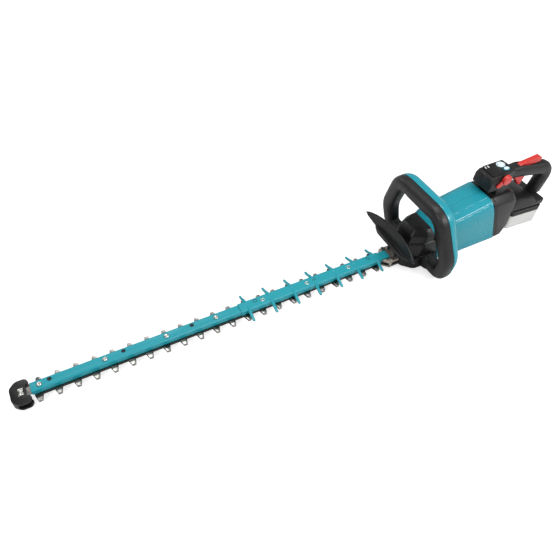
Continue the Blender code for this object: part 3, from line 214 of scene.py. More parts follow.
def make_grain_group():
    """Moulded or cast grain: fine noise as a height, with a slower drift for the roughness."""
    tree, given, out = group(
        "surface_grain",
        [("Grain size", FLOAT, 900.0), ("Roughness", FLOAT, 0.45), ("Drift", FLOAT, 0.08)],
        [("Height", FLOAT), ("Roughness", FLOAT)],
    )
    place = tree.nodes.new("ShaderNodeTexCoord")
    fine = tree.nodes.new("ShaderNodeTexNoise")
    fine.inputs["Detail"].default_value = 3.0
    slow = tree.nodes.new("ShaderNodeTexNoise")
    slow.inputs["Scale"].default_value = 22.0
    slow.inputs["Detail"].default_value = 4.0
    centred = tree.nodes.new("ShaderNodeMath")
    centred.operation = "SUBTRACT"
    centred.inputs[1].default_value = 0.5
    scaled = tree.nodes.new("ShaderNodeMath")
    scaled.operation = "MULTIPLY_ADD"
    link = tree.links.new
    link(place.outputs["Object"], fine.inputs["Vector"])
    link(place.outputs["Object"], slow.inputs["Vector"])
    link(given.outputs["Grain size"], fine.inputs["Scale"])
    link(slow.outputs["Fac"], centred.inputs[0])
    link(centred.outputs[0], scaled.inputs[0])
    link(given.outputs["Drift"], scaled.inputs[1])
    link(given.outputs["Roughness"], scaled.inputs[2])
    link(fine.outputs["Fac"], out.inputs["Height"])
    link(scaled.outputs[0], out.inputs["Roughness"])
    return tree


def make_tone_group():
    """Two near tones of one colour, mixed by a slow noise, with faint dust in its hollows."""
    tree, given, out = group(
        "tone_and_dust",
        [("Base", COLOUR, (0.5, 0.5, 0.5, 1)), ("Other", COLOUR, (0.4, 0.4, 0.4, 1)),
         ("Dust", COLOUR, (0.35, 0.33, 0.30, 1)), ("Dust amount", FLOAT, 0.04), ("Scale", FLOAT, 9.0)],
        [("Colour", COLOUR), ("Mask", FLOAT)],
    )
    place = tree.nodes.new("ShaderNodeTexCoord")
    cloud = tree.nodes.new("ShaderNodeTexNoise")
    cloud.inputs["Detail"].default_value = 5.0
    specks = tree.nodes.new("ShaderNodeTexNoise")
    specks.inputs["Scale"].default_value = 140.0
    specks.inputs["Detail"].default_value = 2.0
    tones = tree.nodes.new("ShaderNodeMix")
    tones.data_type = "RGBA"
    dusty = tree.nodes.new("ShaderNodeMix")
    dusty.data_type = "RGBA"
    settle = tree.nodes.new("ShaderNodeMapRange")
    settle.inputs["From Min"].default_value = 0.5
    settle.inputs["From Max"].default_value = 0.75
    amount = tree.nodes.new("ShaderNodeMath")
    amount.operation = "MULTIPLY"
    link = tree.links.new
    link(place.outputs["Object"], cloud.inputs["Vector"])
    link(place.outputs["Object"], specks.inputs["Vector"])
    link(given.outputs["Scale"], cloud.inputs["Scale"])
    link(cloud.outputs["Fac"], tones.inputs["Factor"])
    link(given.outputs["Base"], tones.inputs[6])
    link(given.outputs["Other"], tones.inputs[7])
    link(specks.outputs["Fac"], settle.inputs["Value"])
    link(settle.outputs["Result"], amount.inputs[0])
    link(given.outputs["Dust amount"], amount.inputs[1])
    link(amount.outputs[0], dusty.inputs["Factor"])
    link(tones.outputs[2], dusty.inputs[6])
    link(given.outputs["Dust"], dusty.inputs[7])
    link(dusty.outputs[2], out.inputs["Colour"])
    link(settle.outputs["Result"], out.inputs["Mask"])
    return tree


def make_brush_group():
    """Grinding lines along X: noise stretched along the blade, as a height and a tone mask."""
    tree, given, out = group(
        "ground_lines", [("Line scale", FLOAT, 1.0)], [("Height", FLOAT), ("Mask", FLOAT)]
    )
    place = tree.nodes.new("ShaderNodeTexCoord")
    stretch = tree.nodes.new("ShaderNodeMapping")
    stretch.inputs["Scale"].default_value = (14.0, 700.0, 700.0)
    lines = tree.nodes.new("ShaderNodeTexNoise")
    lines.inputs["Detail"].default_value = 4.0
    link = tree.links.new
    link(place.outputs["Object"], stretch.inputs["Vector"])
    link(stretch.outputs["Vector"], lines.inputs["Vector"])
    link(given.outputs["Line scale"], lines.inputs["Scale"])
    link(lines.outputs["Fac"], out.inputs["Height"])
    link(lines.outputs["Fac"], out.inputs["Mask"])
    return tree


def make_ground_edge_group():
    """A mask that is one where the blade reaches further out than its strip: the ground tips, which keep the
    steel colour. Where it is nought, near the roots, the teeth get a painted shade.
    """
    tree, given, out = group(
        "ground_tips", [("Start", FLOAT, 0.0185), ("Full", FLOAT, 0.0205)], [("Mask", FLOAT)]
    )
    place = tree.nodes.new("ShaderNodeTexCoord")
    parts = tree.nodes.new("ShaderNodeSeparateXYZ")
    reach = tree.nodes.new("ShaderNodeMath")
    reach.operation = "ABSOLUTE"
    spread = tree.nodes.new("ShaderNodeMapRange")
    link = tree.links.new
    link(place.outputs["Object"], parts.inputs[0])
    link(parts.outputs["Y"], reach.inputs[0])
    link(reach.outputs[0], spread.inputs["Value"])
    link(given.outputs["Start"], spread.inputs["From Min"])
    link(given.outputs["Full"], spread.inputs["From Max"])
    link(spread.outputs["Result"], out.inputs["Mask"])
    return tree


GRAIN = make_grain_group()
TIPS = make_ground_edge_group()
TONE = make_tone_group()
BRUSH = make_brush_group()


def finish(name, base, other, roughness, grain, bump, metallic=0.0, coat=0.0, dust=0.012,
           drift=0.1, brushed=False, sheen=0.0, specular=0.5, transmit=0.0):
    """One finish: tone and dust for the colour, grain for the roughness and the bump."""
    made = bpy.data.materials.new(name)
    made.use_nodes = True
    tree = made.node_tree
    shader = tree.nodes["Principled BSDF"]
    link = tree.links.new
    tone = tree.nodes.new("ShaderNodeGroup")
    tone.node_tree = TONE
    tone.inputs["Base"].default_value = (*base, 1)
    tone.inputs["Other"].default_value = (*other, 1)
    tone.inputs["Dust amount"].default_value = dust
    texture = tree.nodes.new("ShaderNodeGroup")
    texture.node_tree = GRAIN
    texture.inputs["Grain size"].default_value = grain
    texture.inputs["Roughness"].default_value = roughness
    texture.inputs["Drift"].default_value = drift
    relief = tree.nodes.new("ShaderNodeBump")
    relief.inputs["Strength"].default_value = bump
    relief.inputs["Distance"].default_value = 0.0006
    link(tone.outputs["Colour"], shader.inputs["Base Color"])
    link(texture.outputs["Roughness"], shader.inputs["Roughness"])
    if brushed:
        lines = tree.nodes.new("ShaderNodeGroup")
        lines.node_tree = BRUSH
        link(lines.outputs["Height"], relief.inputs["Height"])
    else:
        link(texture.outputs["Height"], relief.inputs["Height"])
    link(relief.outputs["Normal"], shader.inputs["Normal"])
    shader.inputs["Metallic"].default_value = metallic
    shader.inputs["Coat Weight"].default_value = coat
    shader.inputs["Coat Roughness"].default_value = 0.12
    shader.inputs["Specular IOR Level"].default_value = specular
    shader.inputs["Sheen Weight"].default_value = sheen
    shader.inputs["Transmission Weight"].default_value = transmit
    made.diffuse_color = (*base, 1)
    return made


TEAL = finish("teal_gloss_nylon", (0.012, 0.270, 0.335), (0.008, 0.235, 0.300), 0.27, 700, 0.012, coat=0.08,
              specular=0.45, drift=0.03, dust=0.004)
BAR_TEAL = finish("teal_bar_coating", (0.012, 0.290, 0.345), (0.008, 0.245, 0.30), 0.36, 500, 0.04,
                  specular=0.4, drift=0.04, dust=0.006)
RUBBER = finish("soft_grip_black", (0.013, 0.013, 0.0133), (0.009, 0.009, 0.0093), 0.40, 1500, 0.25,
                specular=0.35)
BLACK = finish("satin_black_nylon", (0.006, 0.006, 0.0063), (0.004, 0.004, 0.0042), 0.36, 1300, 0.22,
               specular=0.35)
GREY = finish("dark_grey_nylon", (0.0125, 0.012, 0.0122), (0.009, 0.0088, 0.009), 0.38, 1300, 0.22,
              specular=0.35)
RED = finish("signal_red_nylon", (0.56, 0.030, 0.024), (0.48, 0.023, 0.019), 0.34, 900, 0.06, coat=0.1)
STEEL = finish("ground_blade_steel", (0.40, 0.39, 0.37), (0.27, 0.265, 0.25), 0.30, 60, 0.18, metallic=1.0,
               brushed=True)
DARK_STEEL = finish("oiled_machine_steel", (0.30, 0.29, 0.28), (0.22, 0.21, 0.20), 0.38, 500, 0.10,
                    metallic=1.0)
ZINC = finish("zinc_plated_screw", (0.66, 0.65, 0.62), (0.56, 0.55, 0.52), 0.26, 600, 0.05, metallic=1.0)
CAST = finish("cast_aluminium_grain", (0.46, 0.42, 0.37), (0.36, 0.32, 0.28), 0.44, 420, 0.5, metallic=1.0)
COPPER = finish("enamelled_copper", (0.60, 0.25, 0.12), (0.45, 0.17, 0.08), 0.36, 300, 0.2, metallic=1.0)
PALE = finish("battery_pale_nylon", (0.62, 0.615, 0.60), (0.54, 0.535, 0.52), 0.40, 800, 0.12, dust=0.02)
LENS = finish("pale_status_lens", (0.66, 0.76, 0.80), (0.58, 0.70, 0.76), 0.14, 300, 0.02, coat=0.6, dust=0.0)
STEEL_TREE = STEEL.node_tree
# Painted shade on the teeth: near their roots, inside the strip, a dark green-black stands for the shade and
# dark reflection on them; only the ground tips beyond the strip keep the steel colour.
tips = STEEL_TREE.nodes.new("ShaderNodeGroup")
tips.node_tree = TIPS
painted_root_shade = STEEL_TREE.nodes.new("ShaderNodeMix")
painted_root_shade.data_type = "RGBA"
painted_root_shade.inputs[6].default_value = (0.045, 0.052, 0.048, 1)
STEEL_TREE.links.new(tips.outputs["Mask"], painted_root_shade.inputs["Factor"])
steel_colour = STEEL_TREE.nodes["Principled BSDF"].inputs["Base Color"].links[0].from_socket
STEEL_TREE.links.new(steel_colour, painted_root_shade.inputs[7])
STEEL_TREE.links.new(painted_root_shade.outputs[2], STEEL_TREE.nodes["Principled BSDF"].inputs["Base Color"])
MARK = finish("white_panel_print", (0.80, 0.80, 0.80), (0.74, 0.74, 0.74), 0.5, 500, 0.03, dust=0.0)


def corner_arcs(corners, back, on, radii, arc):
    """Arcs that replace corners, in any number of dimensions, from the arms back and on."""
    radii = np.maximum(np.broadcast_to(np.asarray(radii, float), len(corners)), 0.2)[:, None]
    back = back / np.linalg.norm(back, axis=1, keepdims=True)
    on = on / np.linalg.norm(on, axis=1, keepdims=True)
    half = np.arccos(np.clip((back * on).sum(1, keepdims=True), -1, 1)) / 2
    centre = corners + (back + on) / np.linalg.norm(back + on, axis=1, keepdims=True) * radii / np.sin(half)
    first = corners + back * radii / np.tan(half) - centre
    last = corners + on * radii / np.tan(half) - centre
    share = np.linspace(0, 1, arc + 1)[None, :, None]
    arms = first[:, None] * (1 - share) + last[:, None] * share
    arms *= radii[:, None] / np.linalg.norm(arms, axis=2, keepdims=True)
    return centre[:, None] + arms


def bent_line(corners, radii, arc=8):
    """An open line whose inner corners are arcs."""
    corners = np.asarray(corners, float)
    inner = corners[1:-1]
    arcs = corner_arcs(inner, corners[:-2] - inner, corners[2:] - inner, radii, arc)
    return np.vstack([corners[:1], arcs.reshape(-1, corners.shape[1]), corners[-1:]])


def piece(mesh, body, slot, material, *nodes):
    """An object for a mesh: its finish, the body it rides on, its slot and the nodes it replaces."""
    made = bpy.data.objects.new(mesh.name, mesh)
    bpy.context.scene.collection.objects.link(made)
    mesh.materials.append(material)
    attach(made, body)
    if nodes:
        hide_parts(*nodes)
    return made


def rounded_edges(made, width, steps=2, angle=30):
    """A Bevel modifier on edges sharper than an angle, with its normals kept straight on the flats."""
    bevel = made.modifiers.new("rounded_edges", "BEVEL")
    bevel.width = width / 1000
    bevel.segments = steps
    bevel.limit_method = "ANGLE"
    bevel.angle_limit = math.radians(angle)
    bevel.harden_normals = True
    return made


def eased(node, name, body, slot, material, width=0.5, steps=2, angle=32, across=1.0):
    """A copy of a CAD node: its loose triangles merged into whole faces, its edges rounded. Its
    width may be drawn in by a share."""
    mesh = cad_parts[node].data.copy()
    mesh.name = name
    mesh.materials.clear()
    shape = bmesh.new()
    shape.from_mesh(mesh)
    bmesh.ops.remove_doubles(shape, verts=shape.verts, dist=2e-6)
    bmesh.ops.dissolve_limit(shape, angle_limit=math.radians(0.8), verts=shape.verts, edges=shape.edges)
    bmesh.ops.scale(shape, vec=(1, across, 1), verts=shape.verts)
    bmesh.ops.recalc_face_normals(shape, faces=shape.faces)
    shape.to_mesh(mesh)
    shape.free()
    mesh.shade_smooth()
    return rounded_edges(piece(mesh, body, slot, material, node), width, steps, angle)


# ---- front handle: a soft grip in front, a hard shell behind, on one leaning loop

LEAN_BACK = math.radians(8.6)
LOOP_FOOT = 18.0
LOOP_PARTING = 10.0
SHELL_BACK = 27.0
SHELL_BACK_TOP = 33.0
LOOP_MID, LOOP_TOP = 56.0, 155.0


def in_loop_plane(across, up, forward):
    """Points drawn across, up and in front of the handle's plane, which leans back as it rises."""
    c, s = math.cos(LEAN_BACK), math.sin(LEAN_BACK)
    return np.stack([LOOP_FOOT - s * up + c * forward, across + 0 * up, c * up + s * forward], -1)


def loop_path(count):
    """The handle's centre line: eight straight runs with eased bends, open at the gear case."""
    c = math.cos(LEAN_BACK)
    low, mid, high = 1 / c, LOOP_MID / c, LOOP_TOP / c
    corners = [(44.4, low), (95, low), (108, mid), (69, high), (-69, high), (-108, mid), (-95, low),
               (-44.4, low)]
    line = bent_line(corners, [20, 60, 34, 34, 60, 20], 14)
    return softened_line(even(line, count), 6)


def loop_skin(name, section, count=240, deepen=0.0):
    """A section (across the tube, forward) carried along the loop; the shell's depth grows with
    the height above the widest place, and shrinks below it."""
    path = loop_path(count)
    tangent = np.gradient(path, axis=0)
    tangent /= np.linalg.norm(tangent, axis=1, keepdims=True)
    across = np.stack([tangent[:, 1], -tangent[:, 0]], 1)
    above = np.clip((path[:, 1] - LOOP_MID) / (LOOP_TOP - LOOP_MID), 0, 1)[:, None]
    below = np.clip((LOOP_MID - path[:, 1]) / LOOP_MID, 0, 1)[:, None]
    forward = section[None, :, 1]
    depth = (forward - LOOP_PARTING) * (1 + above * deepen - 0.6 * below)
    forward = np.where(forward > LOOP_PARTING, LOOP_PARTING + depth, forward)
    flat = path[:, None] + across[:, None] * section[None, :, :1]
    points = in_loop_plane(flat[..., 0], flat[..., 1], forward)
    return skin(name, points)


def make_front_handle():
    """The grip's section has a shallow groove before the joint, and wraps further back on the inside
    of the loop; the shell's section starts at the joint and covers the outside and the back."""
    deeper = (SHELL_BACK_TOP - SHELL_BACK) / (SHELL_BACK - LOOP_PARTING)
    grip_outer = [(0, -13), (5, -12.8), (9.5, -11.8), (13, -9.6), (15.2, -6.6), (16.4, -3), (16.9, 1),
                  (16.9, 5),
                  (16.7, 8.2), (16.3, 8.9), (15.7, 9.2), (15.7, 9.9), (8, 9.9), (-4, 9.9)]
    grip_inner = [(-9.2, 9.9), (-9.6, 11), (-9.7, 16), (-10.2, 19.2), (-11.6, 19.8), (-13.8, 18.4),
                  (-15.6, 15),
                  (-16.6, 10), (-16.9, 4), (-16.4, -3), (-15.2, -6.6), (-13, -9.6), (-9.5, -11.8),
                  (-5, -12.8)]
    shell_half = [(-8.8, 10.2), (2, 10.2), (15.4, 10.2), (16.0, 10.6), (16.4, 11.4), (16.2, 14), (15.2, 17.5),
                  (13.2, 21), (10.2, 24), (6, 26.3), (1, 27), (-4, 25.9), (-7.6, 22.8), (-9, 18), (-9.1, 12)]
    grip_ring = np.array(grip_outer + grip_inner, float)
    shell_ring = np.array(shell_half, float)
    grip = piece(loop_skin("soft_front_grip", round_ring(grip_ring, 4), deepen=deeper), "body",
                 "black_soft_grip", RUBBER,
                 "front_handle_grip")
    shell = piece(loop_skin("front_handle_back_shell", round_ring(shell_ring, 4), deepen=deeper), "body",
                  "teal_nylon", TEAL, "front_handle_shell")
    return grip, shell


def round_rows(rows, factor):
    """Closed rings of points, one to a row, made finer on Catmull-Rom curves through them."""
    before, after, beyond = (np.roll(rows, k, 1) for k in (1, -1, -2))
    t = (np.arange(factor) / factor)[None, None, :, None]
    a, b, c, d = (part[:, :, None] for part in (before, rows, after, beyond))
    fine = 0.5 * (2 * b + (c - a) * t + (2 * a - 5 * b + 4 * c - d) * t**2 + (3 * b - a - 3 * c + d) * t**3)
    return fine.reshape(len(rows), -1, rows.shape[-1])


def round_ring(ring, factor):
    """round_rows for one ring."""
    return round_rows(np.asarray(ring, float)[None], factor)[0]


make_front_handle()

# ---- hand guard: a crescent across the tool, with a rolled lip along its lower edge


def make_hand_guard():
    """Across the tool the plate's lower edge rises and sweeps forward with a power of the distance
    from the middle. The section is a closed ring: a flange that stands forward along the lower
    edge and dies out towards the ends, the plate, and a rib under its upper edge."""
    share = np.linspace(-1, 1, 161)
    reach = np.abs(share)
    low = 36 + 30 * reach**2.2
    high = 80 - 11 * reach**4
    front = -50 - 16 * reach**2
    up = np.array([0.0, 0.0, 0.02, 0.06, 0.10, 0.125, 0.135, 0.15, 0.5, 0.84, 0.89, 0.94, 0.98, 1.0])
    stand = np.array([0.0, 0.72, 0.95, 1.0, 0.93, 0.7, 0.35, 0.03, 0.0, 0.0, 0.0, 0.0, 0.0, 0.0])
    thick = np.array([0.2, 1.9, 2.0, 2.0, 2.0, 2.0, 2.0, 2.0, 1.9, 2.1, 3.1, 3.3, 2.6, 0.6])
    rear = np.array([0.0, 1.2, 1.8, 1.9, 2.0, 2.0, 2.0, 2.0, 2.0, 2.0, 2.0, 1.9, 1.2, 0.0])
    flange = 10.5 * np.clip((0.66 - reach) / 0.2, 0, 1)[:, None] ** 0.7
    sign = np.concatenate([-thick, rear[::-1][1:-1]])
    bulge = np.concatenate([stand, np.zeros(12)])
    height = low[:, None] + (high - low)[:, None] * np.concatenate([up, up[::-1][1:-1]])[None]
    taper = np.clip((1 - reach) / 0.06, 0.25, 1)[:, None]
    x = front[:, None] + sign[None] * taper - bulge[None] * flange
    y = 92 * share[:, None] + 0 * x
    ring = round_rows(np.stack([x, y, height], -1), 3)
    plate = piece(skin("curved_hand_guard", ring), "body", "black_nylon", BLACK, "hand_guard")
    for label, side in (("left", -1), ("right", 1)):
        leg = outline([(-51, side * 11), (-45, side * 11), (-45, side * 15), (-51, side * 15)], 1.2, 4, 3)
        piece(slab(f"guard_leg_{label}", leg, 10.3, 47, 0.6), "body", "black_nylon", BLACK)
    return plate


make_hand_guard()

# ---- blades, bar and guards: the CAD shapes with their edges rounded as pressed and ground parts have

eased("upper_blade", "upper_toothed_blade", "upper_blade", "blade_steel", STEEL, 0.5)
eased("lower_blade", "lower_toothed_blade", "lower_blade", "blade_steel", STEEL, 0.5)
eased("guide_bar", "blade_guide_bar", "body", "teal_bar_coating", BAR_TEAL, 1.0, 3)
eased("tip_guard", "nose_tip_guard", "body", "black_nylon", BLACK, 1.2, 3)
eased("blade_base", "cast_blade_base", "body", "cast_aluminium", CAST, 0.8, 2)

# ---- motor housing: two half shells on one lofted section, with a groove at their joint

LEAN = math.radians(18)
HOUSING_LOW = -21.0


def housing_section(half, high, low, count=230):
    """Half of the section, from the top joint to the bottom one: a gently sloped shoulder, a
    chamfer under it, a flat side and a small lower chamfer, all with rounded corners."""
    corners = [(0, high), (half - 21, high), (half - 7.5, high - 7), (half - 2.4, high - 19),
               (half, high - 40),
               (half, low + 10), (half - 10, low), (0, low)]
    return even(softened_line(even(bent_line(corners, [9, 6, 5, 9, 5, 4], 8), count), 4), count)


def groove(length, at, width, depth):
    """How far a groove sinks at each length along a line: a bell of its width."""
    return depth * np.exp(-(((length - at) / width) ** 2))


def housing_skin(side, stations, grooves, lean=True, rows=90):
    """Sections at stations (foot, half, high, low) joined by straight runs with eased bends, each
    on a plane that leans with the joint; grooves run lengthwise, and sink along the normal."""
    stations = np.asarray(stations, float)
    foot = np.unique(np.concatenate([np.linspace(stations[0, 0], stations[-1, 0], rows), stations[:, 0]]))
    half, high, low = (np.interp(foot, stations[:, 0], stations[:, k]) for k in (1, 2, 3))
    half, high, low = (softened_line(value[:, None], 5)[:, 0] for value in (half, high, low))
    rings = np.array([housing_section(*row) for row in zip(half, high, low)])
    tangent = np.gradient(rings, axis=1)
    tangent /= np.linalg.norm(tangent, axis=2, keepdims=True)
    normal = np.stack([-tangent[..., 1], tangent[..., 0]], -1)
    length = np.concatenate(
        [np.zeros((len(rings), 1)), np.cumsum(np.linalg.norm(np.diff(rings, axis=1), axis=2), 1)], 1)
    total = length[:, -1:]
    share = (foot[:, None] - foot[0]) / (foot[-1] - foot[0])
    sunk = 0
    for at, width, depth, start, end in grooves:
        ease = np.clip((share - start) / 0.02, 0, 1) * np.clip((end - share) / 0.02, 0, 1)
        place = at if at > 0 else total + at
        sunk = sunk + groove(length, place, width, depth) * ease
    rings = rings - normal * sunk[..., None]
    y = rings[..., 0] * side
    z = rings[..., 1]
    tilt = math.tan(LEAN) if lean else 0.0
    x = foot[:, None] - tilt * (z - HOUSING_LOW)
    return np.stack([x, y, z], -1)


def open_skin(name, rings):
    """A skin that stays open along both edges of every ring and at both ends."""
    return skin(name, rings, closed_round=False, caps=False)


def wall(made, thickness, side=-1.0, steps=2, edge=0.5):
    """Gives an open skin its thickness inwards and rounds the edges of the wall."""
    solid = made.modifiers.new("wall", "SOLIDIFY")
    solid.thickness = thickness / 1000
    solid.offset = side
    solid.use_even_offset = True
    return rounded_edges(made, edge, steps, 40)


def outward(mesh, inside):
    """Turns an open skin's faces so that they look away from a point inside it."""
    count = len(mesh.polygons)
    centres, normals = np.empty(count * 3), np.empty(count * 3)
    mesh.polygons.foreach_get("center", centres)
    mesh.polygons.foreach_get("normal", normals)
    away = centres.reshape(-1, 3) - in_metres(np.asarray(inside, float))
    if (away * normals.reshape(-1, 3)).sum() < 0:
        mesh.flip_normals()
    return mesh


HOUSING_STATIONS = [(57.4, 44, 80, -21), (66, 45.5, 84, -21), (87.3, 49, 91, -21), (219.8, 49, 114, -21)]
HOUSING_GROOVES = [(0.02, 0.5, 0.5, -1, 2), (27, 0.9, 0.9, 0.16, 2), (46, 0.8, 0.8, 0.16, 2),
                   (-66, 0.9, 0.8, 0.1, 2),
                   (-0.02, 0.5, 0.5, -1, 2)]
for label, side in (("left", -1), ("right", 1)):
    rings = housing_skin(side, HOUSING_STATIONS, HOUSING_GROOVES)
    rings[..., 1] += side * 0.12 * (np.abs(rings[..., 1]) < 0.5)
    mesh = outward(open_skin(f"motor_housing_shell_{label}", rings), (140, 0, 40))
    made = piece(mesh, "body", "teal_nylon", TEAL, f"motor_housing_{label}")
    wall(made, 2.6)


def make_control_box_hood():
    """A loft along X over the box's nose: six-sided sections with small corner radii, drawn in
    at both ends by the edge radius."""
    ease = np.array([1.6, 0.9, 0.4, 0.1, 0.0, 0.0, 0.0, 0.1, 0.3])
    along = np.array([168.9, 169.15, 169.6, 170.2, 171.2, 190.0, 214.0, 214.4, 214.6])
    rows = []
    for inset in ease:
        half, low, high, top = 27.25 - inset, 126.4 + inset, 162.25 - inset, 21.6 - inset
        corners = [(half, low), (half, high - 13), (top, high), (-top, high), (-half, high - 13),
                   (-half, low)]
        rows.append(outline(corners, [2, 2.5, 2, 2, 2.5, 2], 8, 10))
    rows = np.array(rows)
    lean = 0.10 * (rows[..., 1] - 126) * (along[:, None] < 172)
    x = along[:, None] + lean
    return piece(skin("control_box_hood", np.stack([x, rows[..., 0], rows[..., 1]], -1)), "rear_handle",
                 "dark_grey_nylon", GREY)


make_control_box_hood()
eased("gear_cover", "gear_top_cover", "body", "black_nylon", BLACK, 1.6, 3)
eased("gear_case", "gear_lower_case", "body", "black_nylon", BLACK, 1.2, 3)
eased("swivel_ring", "handle_swivel_ring", "body", "dark_grey_nylon", BLACK, 0.8, 2)
for label in ("left", "right"):
    eased(f"rear_housing_{label}", f"rear_handle_half_{label}", "rear_handle", "dark_grey_nylon", GREY, 1.0,
          3)
eased("battery_mount", "battery_mount_foot", "rear_handle", "black_nylon", BLACK, 1.0, 2)


def tilt(points):
    """Points drawn with the battery's interface level, turned down about its front edge."""
    c, n = math.cos(math.radians(5)), math.sin(math.radians(5))
    x, z = points[..., 0] - 267, points[..., 2]
    return np.stack([267 + c * x + n * z, points[..., 1], 43 - n * x + c * z], -1)


def battery_case(name, low, high, low_edge, high_edge, body_shape, grooves=()):
    """A rounded block between two depths: the outline shrinks near each end by its edge radius,
    sinks round the side in bell-shaped grooves at given depths, and steps in at the rear where
    the catch's key moves."""
    turn = np.linspace(0, math.pi / 2, 9)
    near_low = np.stack([low + low_edge * (1 - np.cos(turn)), low_edge * (1 - np.sin(turn))], 1)
    near_high = np.stack([high - high_edge * (1 - np.cos(turn)), high_edge * (1 - np.sin(turn))], 1)[::-1]
    side = np.linspace(near_low[-1, 0], near_high[0, 0], 60)[1:-1]
    sunk = sum((groove(side, at, width, depth) for at, width, depth in grooves), np.zeros(len(side)))
    levels = np.vstack([near_low, np.stack([side, sunk], 1), near_high])
    shape = np.asarray(body_shape)
    middle = shape.mean(0)
    arm = shape - middle
    size = np.abs(arm).max(0)
    ring = middle + arm[None] * (1 - levels[:, 1, None, None] / size[None, None])
    height = np.broadcast_to(levels[:, :1], ring.shape[:2])
    in_pocket = np.clip((15.2 - np.abs(ring[..., 1])) / 0.8, 0, 1) * np.clip((ring[..., 0] - 330) / 0.8, 0, 1)
    in_pocket = in_pocket * np.clip((height + 19.6) / 0.6, 0, 1) * np.clip((-3.9 - height) / 0.6, 0, 1)
    ring[..., 0] -= 7.6 * in_pocket
    return skin(name, tilt(np.concatenate([ring, height[..., None]], -1)))


footprint = outline([(267.3, -41), (364.6, -41), (364.6, 41), (267.3, 41)], 9, 12, 72)
piece(battery_case("battery_top_case", -15.5, -1.2, 0.5, 2.0, footprint, [(-8, 0.8, 0.7)]), "battery",
      "battery_pale_grey", BLACK, "battery_upper_case")


def make_battery_rail():
    """The T-shaped rail on the battery: its section is carried along X, then turned with the case."""
    section = outline([(-23.5, -2), (-23.5, 4), (-29, 4), (-29, 9), (29, 9), (29, 4), (23.5, 4),
                       (23.5, -2)], 0.5, 4, 6)
    along = np.array([282.2, 282.5, 283.0, 320.0, 362.2, 362.7, 363.0])
    shrink = np.array([0.5, 0.15, 0.0, 0.0, 0.0, 0.15, 0.5])[:, None]
    y = section[None, :, 0] - np.sign(section[None, :, 0]) * shrink
    z = section[None, :, 1] - np.sign(section[None, :, 1] - 6.5) * shrink * (section[None, :, 1] > 3)
    x = np.broadcast_to(along[:, None], y.shape)
    return piece(skin("battery_rail", tilt(np.stack([x, y, z], -1))), "battery", "battery_pale_grey", BLACK)


make_battery_rail()
piece(battery_case("battery_pale_case", -55, -15.8, 6.0, 0.5, footprint, [(-22, 0.7, 0.6), (-46, 0.7, 0.5)]),
      "battery", "battery_pale_grey", PALE, "battery_lower_case")
eased("trigger", "finger_trigger", "trigger", "red_nylon", RED, 1.2, 3, across=0.86)
eased("lock_off_lever", "palm_lock_lever", "lock_off", "red_nylon", RED, 1.0, 3, across=0.78)
eased("handle_release_lever", "swivel_release_lever", "handle_release", "red_nylon", RED, 1.2, 3)
eased("control_panel", "thumb_control_panel", "rear_handle", "black_nylon", BLACK, 0.5, 2)
eased("power_button", "power_key", "power_button", "status_lens", LENS, 0.8, 3)
eased("reverse_button", "reverse_key", "reverse_button", "status_lens", LENS, 0.6, 3)
eased("battery_button", "battery_catch_key", "battery_button", "black_nylon", BLACK, 0.8, 3)
eased("front_switch_lever", "front_grip_lever", "front_switch", "black_nylon", BLACK, 1.5, 3)

# ---- comb guard: a thin saddle over the bar, with arched fingers that run down and outwards

COMB_FIRST, COMB_STEP, COMB_PAIRS = -412.8, 52.8, 7


def finger_mesh(name, x, side):
    """An arm along Y: its centre line starts on the spine and falls as a half cosine; its width
    and its depth shrink towards a rounded tip, and two ridges run along the first half."""
    share = np.linspace(0, 1, 64)
    reach = 4 + 34 * share
    tip = np.sqrt(np.clip(1 - np.clip((share - 0.88) / 0.12, 0, 1) ** 2, 0.0004, 1))
    half = (4.4 - 1.9 * share**0.8) * tip
    deep = (2.3 - 0.5 * share) * tip
    height = 6.6 + 7.4 * (0.5 + 0.5 * np.cos(math.pi * np.clip((share - 0.18) / 0.75, 0, 1)))
    turn = np.linspace(0, 2 * math.pi, 72, endpoint=False)
    c, s = np.cos(turn), np.sin(turn)
    across = half[:, None] * (np.sign(c) * np.abs(c) ** 0.55)[None]
    ridge = np.exp(-((np.abs(across) - 0.42 * half[:, None]) / 0.55) ** 2)
    fade = np.clip(share / 0.1, 0, 1) * np.clip((0.62 - share) / 0.1, 0, 1)
    rise = deep[:, None] * (np.sign(s) * np.abs(s) ** 0.6)[None]
    rise = rise + np.where(s[None] > 0.3, 0.9 * ridge * fade[:, None], 0)
    y = side * np.broadcast_to(reach[:, None], across.shape)
    return skin(name, np.stack([x + across, y, height[:, None] + rise], -1))


def make_comb_guard():
    """The saddle is a channel: its section wraps the bar's top and sides, carried along X with
    its front end drawn thinner; the fingers stand on it."""
    section = bent_line([(-12.5, 4.6), (-12.5, 16), (12.5, 16), (12.5, 4.6)], 2.2, 8)
    inner = bent_line([(10.9, 4.6), (10.9, 14.35), (-10.9, 14.35), (-10.9, 4.6)], 0.9, 8)
    ring = np.vstack([even(section, 90), even(inner, 70)])
    along = np.concatenate([[0, 0.25, 0.7, 1.4], np.linspace(2, 344.6, 80), [345.2, 345.9, 346.35, 346.6]])
    along = COMB_FIRST - 17 + along
    ends = np.minimum(along - along[0], along[-1] - along)
    grow = 1 - 0.9 * np.exp(-ends / 0.5)[:, None]
    outer = np.arange(len(ring)) < 90
    shrink = np.where(outer[None], (1 - grow) * 0.9, 0)
    y = ring[None, :, 0] * (1 - shrink / 12.5)
    z = ring[None, :, 1] - shrink * (ring[None, :, 1] > 14.9)
    x = np.broadcast_to(along[:, None], y.shape)
    saddle = piece(skin("comb_guard_saddle", np.stack([x, y, z], -1)), "body", "teal_bar_coating", BAR_TEAL,
                   "comb_guard")
    for number in range(COMB_PAIRS):
        for label, side in (("left", -1), ("right", 1)):
            mesh = finger_mesh(f"comb_finger_{label}_{number + 1}", COMB_FIRST + number * COMB_STEP, side)
            piece(mesh, "body", "teal_bar_coating", BAR_TEAL)
    return saddle


make_comb_guard()

# ---- fasteners


